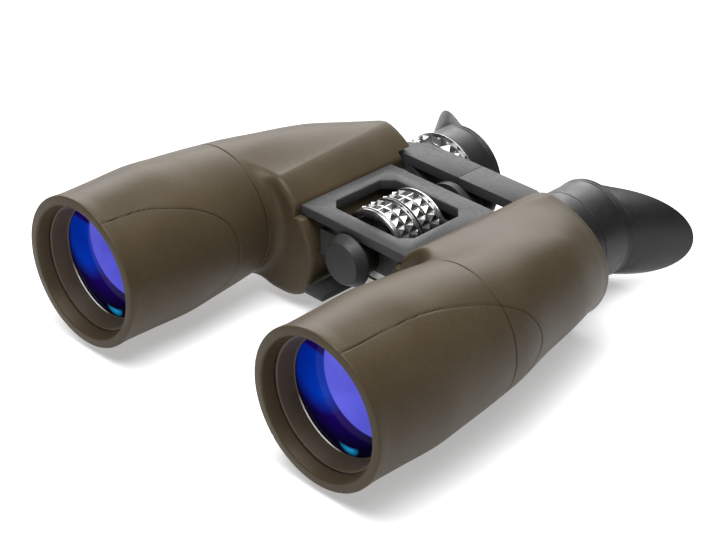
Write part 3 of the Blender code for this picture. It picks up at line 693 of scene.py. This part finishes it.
SEAM_STATION = 75.9 * MM
GROOVE_HALF_WIDTH = 0.46 * MM
GROOVE_DEPTH = 0.32 * MM
FAR_AWAY = 9.0 * MM
GIRTH_RADIUS = 32.5 * MM            # of the cylinder on which the leaves are drawn
LEAF_END = 100.0 * MM
HUMP_SIDE = (80.0 * MM, 4.0 * MM)   # no groove behind this station inside this x from the axis
# Moulded leaf outlines: degrees above the horizontal through the barrel's axis, and station in mm
OUTER_LEAF = ((67.3, -4.0), (66.6, 14.0), (66.2, 26.0), (64.7, 38.6), (61.4, 50.2), (55.5, 61.7),
              (47.6, 72.9), (35.3, 84.1), (25.9, 88.8), (13.8, 92.4), (0.0, 93.9), (-12.0, 92.7),
              (-24.0, 89.0), (-35.3, 84.1), (-47.6, 72.9), (-55.5, 61.7), (-61.4, 50.2),
              (-64.7, 38.6), (-66.2, 26.0), (-66.6, 14.0), (-67.3, -4.0))
INNER_LEAF = ((61.5, -4.0), (58.5, 19.0), (51.0, 31.5), (41.5, 43.6), (29.0, 52.6), (15.0, 56.8),
              (-6.0, 58.4), (-20.0, 55.8), (-31.0, 49.8), (-38.0, 37.0), (-42.0, 20.0), (-44.5, -4.0))


LEAF_STEPS = 8


def smooth_line(points):
    """Catmull-Rom curve through the points."""
    points = np.array(points, float)
    padded = np.vstack([2 * points[0] - points[1], points, 2 * points[-1] - points[-2]])
    t = np.linspace(0.0, 1.0, LEAF_STEPS, endpoint=False)[:, None]
    out = []
    for p0, p1, p2, p3 in zip(padded, padded[1:], padded[2:], padded[3:]):
        out.append(0.5 * (2 * p1 + (p2 - p0) * t + (2 * p0 - 5 * p1 + 4 * p2 - p3) * t ** 2
                          + (3 * p1 - p0 - 3 * p2 + p3) * t ** 3))
    return np.vstack([*out, points[-1:]])


def line_distance(u, v, line):
    """Distance in the unrolled surface from each (u, v) to a polyline."""
    best = np.full(u.shape, FAR_AWAY)
    for (au, av), (bu, bv) in zip(line, line[1:]):
        du, dv = bu - au, bv - av
        t = np.clip(((u - au) * du + (v - av) * dv) / (du * du + dv * dv + 1e-18), 0.0, 1.0)
        best = np.minimum(best, np.hypot(u - au - t * du, v - av - t * dv))
    return best


def leaf_distance(angle, station, leaf):
    """Distance to one leaf's outline; the angle is 0 along the middle of the leaf."""
    line = smooth_line(leaf)
    line = np.stack([np.radians(line[:, 0]) * GIRTH_RADIUS, line[:, 1] * MM], -1)
    return line_distance(angle * GIRTH_RADIUS, station, line)


def groove_distance(angle_out, station):
    """Distance from each point of a ring to the nearest groove; angle_out is 0 on the outer side."""
    best = np.full(angle_out.shape, min(abs(station - SEAM_STATION), FAR_AWAY))
    if station < LEAF_END:
        outer = (angle_out + math.pi) % (2 * math.pi) - math.pi
        inner = math.pi - angle_out % (2 * math.pi)
        best = np.minimum(best, leaf_distance(outer, station, OUTER_LEAF))
        best = np.minimum(best, leaf_distance(inner, station, INNER_LEAF))
    return best


# ---------------------------------------------------------------- armour

ANGLE_COUNT = 388


def armour_stations():
    """Rings that lie close together where the surface turns quickly or carries grooves."""
    rim = (0.0, 0.12, 0.3, 0.5, 0.75, 1.05, 1.4)
    front = np.arange(2.0, 75.0, 0.72)
    seam = np.arange(75.1, 81.8, 0.3)
    fillet = np.linspace(81.9, 82.6, 12)
    face = 82.65 + np.linspace(0.0, 1.0, 22) ** 1.4 * 5.0
    leaf = np.arange(88.0, 95.6, 0.42)
    body = np.arange(96.2, 147.0, 1.5)
    rear = np.arange(147.4, 153.0, 0.7)
    end = (153.2, 153.6, 153.9, 154.2, 154.4, 154.6, 154.75, 155.0)
    return np.concatenate([rim, front, seam, fillet, face, leaf, body, rear, end]) * MM


def armour_skin(name, side):
    """Outer form of one armour, with its grooves pressed in."""
    stations = armour_stations()
    corner = math.atan2(LEDGE_HEIGHT - SECTION_CENTRE[1], LEDGE_X - SECTION_CENTRE[0])
    angles = corner + np.linspace(0.0, 2 * math.pi, ANGLE_COUNT, endpoint=False)
    points = np.zeros((len(stations), ANGLE_COUNT, 3))
    apart = np.zeros((len(stations), ANGLE_COUNT))
    for row, station in enumerate(stations):
        centre_x, centre_z, reach = section_reach(station, angles)
        x = centre_x + reach * np.cos(angles)
        z = centre_z + reach * np.sin(angles)
        around = np.arctan2(z, x - OBJECTIVE_X)
        apart[row] = groove_distance(around, station)
        if station > HUMP_SIDE[0]:
            apart[row][x < OBJECTIVE_X + HUMP_SIDE[1]] = FAR_AWAY
        share = np.clip(1.0 - (apart[row] / GROOVE_HALF_WIDTH) ** 2, 0.0, 1.0) ** 1.5
        cut = reach - GROOVE_DEPTH * share
        points[row, :, 0] = side * (centre_x + cut * np.cos(angles))
        points[row, :, 1] = FRONT_Y + station
        points[row, :, 2] = AXIS_HEIGHT + centre_z + cut * np.sin(angles)
    mesh = lofted(points, name)
    # Nearness to a groove, which the armour colour uses to paint shade into the grooves.
    nearness = np.clip(1.0 - apart / MM, 0.0, 1.0)
    groove = mesh.attributes.new("groove", "FLOAT", "POINT")
    groove.data.foreach_set("value", nearness.astype(np.float32).ravel())
    return mesh


# Radius and station in mm of the opening cut in front of the lens cell
HOOD_OUTLINE = ((0.0, -3.0), (31.5, -3.0), (29.3, 0.0), (28.8, 0.5), (27.3, 5.3), (28.0, 5.6),
                (28.0, 7.0), (0.0, 7.0))
ARMOUR_WALL = 2.3 * MM
CAVITY = (6.6 * MM, 147.3 * MM)
RECESS = (146.3 * MM, 220.0 * MM)   # stations of the room in which the bridge slides
RING_ROOM = 25.5 * MM
BAR_ROOM = (8.4 * MM, 15.9 * MM)


def cavity_mesh(name, side):
    """Room inside the armour for the rigid housing."""
    angles = np.linspace(0.0, 2 * math.pi, 72, endpoint=False)
    barrel = np.linspace(CAVITY[0], HUMP_FRONT, 12)
    hump = np.linspace(HUMP_FRONT, CAVITY[1], 60)[1:]
    rings = []
    for station in np.concatenate([barrel, hump]):
        centre_x, centre_z, reach = section_reach(station, angles, ARMOUR_WALL)
        x = side * (centre_x + reach * np.cos(angles))
        z = centre_z + reach * np.sin(angles)
        rings.append([tuple(place(u, station, v)) for u, v in zip(x, z)])
    return lofted(rings, name)


def make_armour(suffix, side):
    name = f"armour_skin_{suffix}"
    item = add_object(name, armour_skin(name, side), MATERIALS["armour_rubber"])
    barrel = Vector((side * OBJECTIVE_X, 0.0, AXIS_HEIGHT))
    eye = Vector((side * EYE_X, 0.0, AXIS_HEIGHT - EYE_DROP))
    near, far = sorted((0.0, side * EYE_X))
    combined(item, [
        turned(f"{name}_hood", HOOD_OUTLINE, barrel, 0.5 * MM),
        cavity_mesh(f"{name}_cavity", side),
        rod(RING_ROOM, RECESS, eye, f"{name}_ring_room", 128),
        box(place(near, RECESS[0], BAR_ROOM[0]), place(far, RECESS[1], BAR_ROOM[1]), f"{name}_bar_room"),
    ])
    shade(item.data, 40.0)
    piece(item, f"{suffix}_half", f"armour_{suffix}")


# ---------------------------------------------------------------- objectives

LENS_OPENING = 24.5 * MM
# Radius and station in mm of the ribbed cone and of the cell behind it
CELL_OUTLINE = ((26.9, 22.0), (26.9, 7.2), (27.9, 7.0), (27.9, 5.9), (26.9, 5.7), (26.4, 6.1),
                (24.9, 12.8), (24.4, 13.1), (24.6, 13.5), (26.2, 13.6), (26.2, 22.0))
LENS_EDGE, LENS_REAR, LENS_FRONT, LENS_BULGE = 25.7, 18.4, 13.9, 2.6


def mark_places(mesh, centre):
    """Store where each point lies across the lens, in radii of its clear opening."""
    spots = np.array([v.co for v in mesh.vertices]) - np.array((centre.x, FRONT_Y, centre.z))
    spots[:, 1] = 0.0
    attribute = mesh.attributes.new("lens_place", "FLOAT_VECTOR", "POINT")
    attribute.data.foreach_set("vector", (spots / LENS_OPENING).astype(np.float32).ravel())


def make_objective(suffix, side):
    centre = Vector((side * OBJECTIVE_X, 0.0, AXIS_HEIGHT))
    body = f"{suffix}_half"
    cell = turned(f"lens_cell_{suffix}", CELL_OUTLINE, centre, 0.15 * MM, 128)
    mark_places(cell, centre)
    item = add_object(f"lens_cell_{suffix}", cell, MATERIALS["hood_coating"])
    piece(item, body, f"objective_cell_{suffix}")
    arc = [(LENS_EDGE * t, LENS_FRONT - LENS_BULGE * (1.0 - t * t)) for t in np.linspace(1.0, 0.0, 24)]
    outline = ((0.0, LENS_REAR), (LENS_EDGE, LENS_REAR), *arc)
    lens = turned(f"front_lens_{suffix}", outline, centre, 0.0, 128)
    mark_places(lens, centre)
    item = add_object(f"front_lens_{suffix}", lens, MATERIALS["coated_glass"])
    piece(item, body, f"objective_lens_{suffix}")


# ---------------------------------------------------------------- plate and bridge

WINDOW_HALF_WIDTH = 22.4 * MM
WINDOW_SPAN = (94.5 * MM, 129.7 * MM)
WINDOW_CORNER = 4.6 * MM


def window_outline():
    """The window's outline, with its corners cut off."""
    half, corner = WINDOW_HALF_WIDTH, WINDOW_CORNER
    front, rear = WINDOW_SPAN
    return [(-half, front + corner), (-half, rear - corner), (corner - half, rear), (half - corner, rear),
            (half, rear - corner), (half, front + corner), (half - corner, front), (corner - half, front)]


def make_top_plate():
    low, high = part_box("top_plate")
    half, front, rear = high.x, low.y - FRONT_Y, high.y - FRONT_Y
    bottom, top = low.z - AXIS_HEIGHT, high.z - AXIS_HEIGHT
    outline = [(-half, front), (half, front), (half, rear), (-half, rear)]
    slab = prism(outline, bottom, top, "z", "plate_shell")
    item = add_object("plate_shell", slab, MATERIALS["grey_paint"])
    combined(item, [prism(window_outline(), bottom - 5 * MM, top + 5 * MM, "z", "window")])
    bevel(item, 0.45 * MM)
    shade(item.data)
    piece(item, "right_half", "top_plate")


BRIDGE_TOP = 14.4 * MM
BRIDGE_LOW = 9.9 * MM
BRIDGE_BAR_END = 31.0 * MM
BRIDGE_RING_RADIUS = 24.0 * MM
BRIDGE_RING_FLAT = 20.8 * MM
BRIDGE_SPAN = (149.2 * MM, 164.3 * MM)
SEAM = 0.15 * MM
HUB_RADIUS = 9.0 * MM
HUB_BORE = 3.4 * MM
EYE_BORE = 17.3 * MM
WEB_X = 8.0 * MM
WEB_HEIGHTS = (4.0 * MM, 11.0 * MM)
THROUGH = (140.0 * MM, 175.0 * MM)  # stations well past both faces of the bridge


def bridge_outline(side):
    """A bar that runs into a ring around the eyepiece, cut flat below."""
    inner_end = math.pi - math.asin((BRIDGE_LOW + EYE_DROP) / BRIDGE_RING_RADIUS)
    flat = math.asin(BRIDGE_RING_FLAT / BRIDGE_RING_RADIUS)
    rise, run = BRIDGE_TOP + EYE_DROP, BRIDGE_BAR_END - EYE_X
    tangent = math.atan2(rise, run) - math.acos(BRIDGE_RING_RADIUS / math.hypot(rise, run))
    outer = np.linspace(tangent, -flat, 48)
    inner = np.linspace(flat - math.pi, inner_end - 2 * math.pi, 48)
    angles = np.concatenate([outer, inner])
    points = [(SEAM, BRIDGE_LOW), (SEAM, BRIDGE_TOP), (BRIDGE_BAR_END, BRIDGE_TOP)]
    points += [(EYE_X + BRIDGE_RING_RADIUS * math.cos(a), -EYE_DROP + BRIDGE_RING_RADIUS * math.sin(a))
               for a in angles]
    return [(side * x, z) for x, z in points]


def make_bridge_arm(suffix, side):
    node = f"bridge_arm_{suffix}"
    name = f"bridge_shell_{suffix}"
    front, rear = BRIDGE_SPAN
    middle = (front + rear) / 2
    hub = (front, middle - SEAM) if suffix == "right" else (middle + SEAM, rear)
    axis = Vector((0.0, 0.0, AXIS_HEIGHT))
    eye = Vector((side * EYE_X, 0.0, AXIS_HEIGHT - EYE_DROP))
    item = add_object(name, prism(bridge_outline(side), front, rear, "y", name), MATERIALS["grey_paint"])
    near, far = sorted((side * SEAM * 1.5, side * WEB_X))
    web_low = place(near, hub[0] + 0.4 * MM, WEB_HEIGHTS[0])
    web_high = place(far, hub[1] - 0.4 * MM, WEB_HEIGHTS[1])
    web = box(web_low, web_high, "web")
    hub_rod = rod(HUB_RADIUS, (hub[0] + 0.2 * MM, hub[1] - 0.2 * MM), axis, "hub", 72)
    combined(item, [hub_rod, web], "UNION")
    bores = [rod(EYE_BORE, THROUGH, eye, "eye_bore", 96), rod(HUB_BORE, THROUGH, axis, "hub_bore", 48)]
    combined(item, bores)
    bevel(item, 0.5 * MM)
    shade(item.data)
    body = "focus_carriage" if suffix == "right" else "carriage_left"
    piece(item, body, node)


# ---------------------------------------------------------------- knurled rings

KNURL_WALL = 0.8 * MM


def patch(centre, angle, half, start, end):
    """Corners of a patch, two half angles wide, between two places given as (radius, station)."""
    first, last = angle - half, angle + half
    return [spot_around(centre, start[0], first, start[1]), spot_around(centre, start[0], last, start[1]),
            spot_around(centre, end[0], last, end[1]), spot_around(centre, end[0], first, end[1])]


def knurl(name, radius, depth, span, around, rows, centre):
    """A sleeve of square pyramids, closed on the inside."""
    half = math.pi / around
    low = radius - depth
    stations = np.linspace(*span, rows + 1)
    inside = ((low, span[1]), (low - KNURL_WALL, span[1]), (low - KNURL_WALL, span[0]), (low, span[0]))
    points, faces = [], []
    for angle in np.linspace(0.0, 2 * math.pi, around, endpoint=False):
        for front, rear in zip(stations, stations[1:]):
            base = len(points)
            points += patch(centre, angle, half, (low, front), (low, rear))
            points.append(spot_around(centre, radius, angle, (front + rear) / 2))
            faces += [(base + i, base + (i + 1) % 4, base + 4) for i in range(4)]
        for start, end in zip(inside, inside[1:]):
            faces.append(range(len(points), len(points) + 4))
            points += patch(centre, angle, half, start, end)
    mesh = mesh_from(points, faces, name)
    merge_doubles(mesh)
    mesh.shade_flat()
    return mesh


WHEEL_RADIUS, WHEEL_VALLEY = 17.6, 16.4
WHEEL_TIPS, WHEEL_CUT = 17.7 * MM, 1.45 * MM
WHEEL_BANDS = {"front": (100.7 * MM, 111.0 * MM), "rear": (112.7 * MM, 123.7 * MM)}
WHEEL_TEETH = 25
RING_RADIUS, RING_VALLEY = 23.2, 21.3
RING_TIPS, RING_CUT = 23.25 * MM, 1.9 * MM
RING_BAND = (168.1 * MM, 179.6 * MM)
RING_TEETH = 25
ROWS = 2


def make_focus_wheel():
    centre = Vector((0.0, 0.0, AXIS_HEIGHT))
    outer, low = WHEEL_RADIUS, WHEEL_VALLEY
    core = ((low, 124.6), (outer, 124.4), (outer, 123.7), (low, 123.4), (low, 112.9), (outer - 0.1, 112.7),
            (outer - 0.1, 112.3), (15.8, 112.2), (15.8, 111.5), (outer - 0.1, 111.4), (outer - 0.1, 111.0),
            (low, 110.8), (low, 100.9), (outer - 0.2, 100.7), (outer - 0.1, 100.2), (outer - 0.1, 99.8),
            (outer - 0.6, 99.6), (outer - 0.6, 99.3), (outer - 0.3, 99.1), (outer - 0.4, 98.6),
            (outer - 1.2, 97.9), (14.4, 97.8), (13.9, 98.4), (7.6, 98.4), (6.3, 98.0), (6.3, 125.9),
            (7.6, 125.5), (14.0, 125.5), (14.4, 125.9), (16.6, 125.9), (16.9, 125.4))
    parts = [turned("wheel_core", core, centre, 0.18 * MM, 144)]
    for name, band in WHEEL_BANDS.items():
        parts.append(knurl(f"band_{name}", WHEEL_TIPS, WHEEL_CUT, band, WHEEL_TEETH, ROWS, centre))
    item = joined("knurled_wheel", parts, MATERIALS["bright_chrome"])
    piece(item, "focus_wheel", "focus_wheel")


def make_dioptre_ring():
    centre = Vector((-EYE_X, 0.0, AXIS_HEIGHT - EYE_DROP))
    outer, low = RING_RADIUS, RING_VALLEY
    core = ((low, 180.5), (outer - 0.2, 180.4), (outer, 180.1), (outer, 179.7), (low, 179.4), (low, 168.3),
            (outer - 0.2, 168.1), (outer - 0.1, 167.2), (outer - 0.6, 165.0), (19.6, 165.0), (19.6, 180.5))
    body = turned("dioptre_core", core, centre, 0.15 * MM, 144)
    grip = knurl("dioptre_grip", RING_TIPS, RING_CUT, RING_BAND, RING_TEETH, ROWS, centre)
    item = joined("knurled_dioptre_ring", [body, grip], MATERIALS["bright_chrome"])
    piece(item, "dioptre_ring", "dioptre_ring")


# ---------------------------------------------------------------- hinge front

def make_tripod_cap():
    centre = Vector((0.0, 0.0, AXIS_HEIGHT))
    outline = ((0.0, 91.8), (3.0, 91.8), (3.0, 84.8), (11.55, 84.8), (11.55, 84.0), (9.3, 80.0),
               (8.9, 79.5), (8.0, 79.55), (0.0, 79.6))
    cap = turned("cap_shell", outline, centre, 0.3 * MM, 96)
    item = add_object("cap_shell", cap, MATERIALS["dark_paint"])
    piece(item, "tripod_cap", "tripod_cap")


def make_rail(suffix):
    low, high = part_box(f"frame_rail_{suffix}")
    name = f"rail_shell_{suffix}"
    item = add_object(name, box(low, high, name), MATERIALS["dark_paint"])
    bevel(item, 0.5 * MM)
    shade(item.data)
    piece(item, f"{suffix}_half", f"frame_rail_{suffix}")


def make_axle():
    centre = Vector((0.0, 0.0, AXIS_HEIGHT))
    outline = ((6.0, 143.4), (6.0, 87.0), (3.4, 87.0), (3.4, 147.0), (5.4, 147.1), (5.8, 146.4),
               (11.2, 146.4), (11.5, 147.2), (12.3, 147.2), (12.8, 146.8), (12.8, 143.4))
    axle = turned("axle_shell", outline, centre, 0.25 * MM, 96)
    item = add_object("axle_shell", axle, MATERIALS["dark_paint"])
    piece(item, "right_half", "hinge_axle")


# ---------------------------------------------------------------- eyepieces

# In mm: stations of the cup's rim and wing tip, the wing's flare, and radii of neck, ridges and wing
CUP_RIM, CUP_TIP = 194.2, 217.4
WING_FLARE = 16.5
NECK, RIDGE, WING = 21.9, 22.2, 21.6
# Powers that round the wing's tip, seen from the side and from behind, and that bend it outwards
TIP_ROUND, FLARE_ROUND, WING_BEND = 0.85, 0.6, 0.8


def make_eyecup(suffix, side):
    """Soft cup with a double ridge around its base and a wing on the outer side."""
    name = f"cup_shell_{suffix}"
    front = span_of(f"eyecup_{suffix}")[0] / MM
    angles = np.linspace(0.0, 2 * math.pi, 160, endpoint=False)
    outward = np.maximum(np.cos(angles), 0.0)
    reach = (CUP_TIP - CUP_RIM) * outward ** TIP_ROUND
    sweep = WING_FLARE * outward ** FLARE_ROUND

    def ring(radius, station, flare):
        x = EYE_X / MM + radius * np.cos(angles) + flare
        z = radius * np.sin(angles) - EYE_DROP / MM
        y = station + np.zeros_like(angles)
        return np.stack([side * x * MM, FRONT_Y + y * MM, AXIS_HEIGHT + z * MM], -1)

    neck = ((19.6, front), (NECK - 0.1, front), (NECK, front + 0.1), (NECK, front + 0.6), (NECK, 184.0),
            (NECK, 190.0), (NECK, 192.4), (NECK, 192.7), (RIDGE, 193.1), (RIDGE, 193.6),
            (NECK - 0.1, 194.0), (NECK - 0.1, 194.3), (RIDGE, 194.7), (RIDGE, 195.2), (WING + 0.1, 195.7))
    inside = ((20.0, CUP_RIM - 1.6), (19.7, CUP_RIM - 2.6))
    steps = np.linspace(0.08, 1.0, 14)
    rings = [ring(radius, station, 0.0) for radius, station in neck]
    rings += [ring(WING, CUP_RIM + 1.6 + (reach - 1.9) * t, sweep * t ** WING_BEND) for t in steps]
    rings += [ring(WING - 0.3, CUP_RIM + reach, sweep), ring(WING - 1.2, CUP_RIM + reach, sweep)]
    rings += [ring(WING - 1.5, CUP_RIM - 0.6 + reach * t, sweep * t ** WING_BEND) for t in steps[::-1]]
    rings += [ring(radius, station, 0.0) for radius, station in inside]
    item = add_object(name, lofted(np.array(rings), name, True), MATERIALS["eye_rubber"])
    shade(item.data, 50.0)
    piece(item, f"eyecup_{suffix}", f"eyecup_{suffix}")


def make_ocular(suffix, side):
    centre = Vector((side * EYE_X, 0.0, AXIS_HEIGHT - EYE_DROP))
    outline = ((19.3, 187.0), (19.3, 165.8), (17.0, 165.6), (17.0, 149.9), (9.4, 149.9), (9.4, 138.5),
               (8.0, 138.5), (8.0, 151.9), (14.5, 151.9), (14.5, 185.0), (11.5, 185.4), (12.6, 187.0))
    tube = turned(f"eye_tube_{suffix}", outline, centre, 0.25 * MM, 96)
    item = add_object(f"eye_tube_{suffix}", tube, MATERIALS["black_alloy"])
    body = "ocular_right" if suffix == "right" else "carriage_left"
    piece(item, body, f"ocular_tube_{suffix}")


def make_shroud():
    """Smooth rubber sleeve around the left eyepiece, from the bridge to the eyecup."""
    centre = Vector((EYE_X, 0.0, AXIS_HEIGHT - EYE_DROP))
    outline = ((19.6, 178.05), (19.6, 165.0), (21.4, 165.0), (21.9, 165.5), (21.9, 166.6), (21.9, 177.3),
               (21.9, 177.95), (21.8, 178.05))
    sleeve = turned("eye_sleeve_left", outline, centre, 0.08 * MM, 160)
    item = add_object("eye_sleeve_left", sleeve, MATERIALS["eye_rubber"])
    piece(item, "carriage_left", "ocular_collar_left")


# ---------------------------------------------------------------- hidden pieces keep their CAD meshes

def finish_hidden_nodes():
    """Give the CAD nodes that stay a procedural material of their record slot, and black alloy to the
    hinge lugs.
    """
    slots = {row["node"]: row["material_slot"] for row in frame["record"]["subparts"]}
    for node, item in frame["nodes"].items():
        if item.hide_render:
            continue
        slot = "black_alloy" if node.startswith("hinge_lug") else slots[node]
        for index in range(len(item.data.materials)):
            item.data.materials[index] = MATERIALS[slot]


# ---------------------------------------------------------------- stage

FLOOR_HALF = 6.0


def make_floor():
    """White paper that glows a little, so that shadows on it stay soft and pale."""
    corners = [(x * FLOOR_HALF, y * FLOOR_HALF, 0.0) for x, y in ((-1, -1), (1, -1), (1, 1), (-1, 1))]
    mesh = mesh_from(corners, [(0, 1, 2, 3)], "floor")
    made = Shader("floor_paper", roughness=0.9, specular=0.0)
    made.colour(made.ramp(made.noise(5.0), (0.62, 0.62, 0.62), (0.64, 0.64, 0.64)))
    made.roughness(made.span(made.noise(9.0), 0.85, 0.95))
    made.shader.inputs["Emission Color"].default_value = (1.0, 1.0, 1.0, 1.0)
    made.shader.inputs["Emission Strength"].default_value = 0.40
    floor = add_object("floor", mesh, made.material)


def make_sun(name, strength, spread, direction):
    lamp = bpy.data.lights.new(name, "SUN")
    lamp.energy = strength
    lamp.angle = math.radians(spread)
    item = bpy.data.objects.new(name, lamp)
    item.rotation_euler = Vector(direction).to_track_quat("-Z", "Y").to_euler()
    bpy.context.scene.collection.objects.link(item)


def make_panel(name, energy, size, spot, target):
    lamp = bpy.data.lights.new(name, "AREA")
    lamp.shape = "RECTANGLE"
    lamp.size, lamp.size_y = size
    lamp.energy = energy
    item = bpy.data.objects.new(name, lamp)
    item.location = spot
    item.rotation_euler = (Vector(target) - Vector(spot)).to_track_quat("-Z", "Y").to_euler()
    bpy.context.scene.collection.objects.link(item)


def make_light():
    world = bpy.data.worlds.new("studio")
    bpy.context.scene.world = world
    world.use_nodes = True
    world.node_tree.nodes["Background"].inputs["Color"].default_value = (0.92, 0.96, 1.0, 1.0)
    world.node_tree.nodes["Background"].inputs["Strength"].default_value = 0.12
    make_sun("overhead", 2.1, 60.0, (-0.06, 0.0, -1.0))
    make_panel("back_panel", 30.0, (1.8, 0.9), (-1.0, 1.1, 0.75), (0.0, 0.0, 0.03))
    make_panel("middle_panel", 3.0, (0.35, 0.35), (0.03, -0.12, 0.50), (-0.06, -0.03, 0.03))
    make_panel("front_panel", 1.2, (0.6, 0.2), (0.12, -0.95, 0.10), (0.0, -0.10, 0.03))


CAMERA_PLACE = (0.488552, -0.500321, AXIS_HEIGHT + 0.393073)
CAMERA_AZIMUTH = 45.382
CAMERA_ELEVATION = 30.533
CAMERA_LENS = 96.70


def make_camera():
    camera = bpy.data.cameras.new("camera")
    camera.sensor_width = 36.0
    camera.lens = CAMERA_LENS
    camera.clip_start = 0.01
    item = bpy.data.objects.new("camera", camera)
    item.location = CAMERA_PLACE
    azimuth, elevation = math.radians(CAMERA_AZIMUTH), math.radians(CAMERA_ELEVATION)
    forward = Vector((-math.sin(azimuth) * math.cos(elevation), math.cos(azimuth) * math.cos(elevation),
                      -math.sin(elevation)))
    item.rotation_euler = forward.to_track_quat("-Z", "Y").to_euler()
    bpy.context.scene.collection.objects.link(item)
    bpy.context.scene.camera = item


def main():
    for suffix, side in SIDES.items():
        make_armour(suffix, side)
        make_objective(suffix, side)
        make_bridge_arm(suffix, side)
        make_eyecup(suffix, side)
        make_ocular(suffix, side)
        make_rail(suffix)
    make_top_plate()
    make_focus_wheel()
    make_dioptre_ring()
    make_shroud()
    make_tripod_cap()
    make_axle()
    finish_hidden_nodes()
    make_floor()
    make_light()
    make_camera()
    bpy.context.scene.view_settings.view_transform = "Standard"


main()
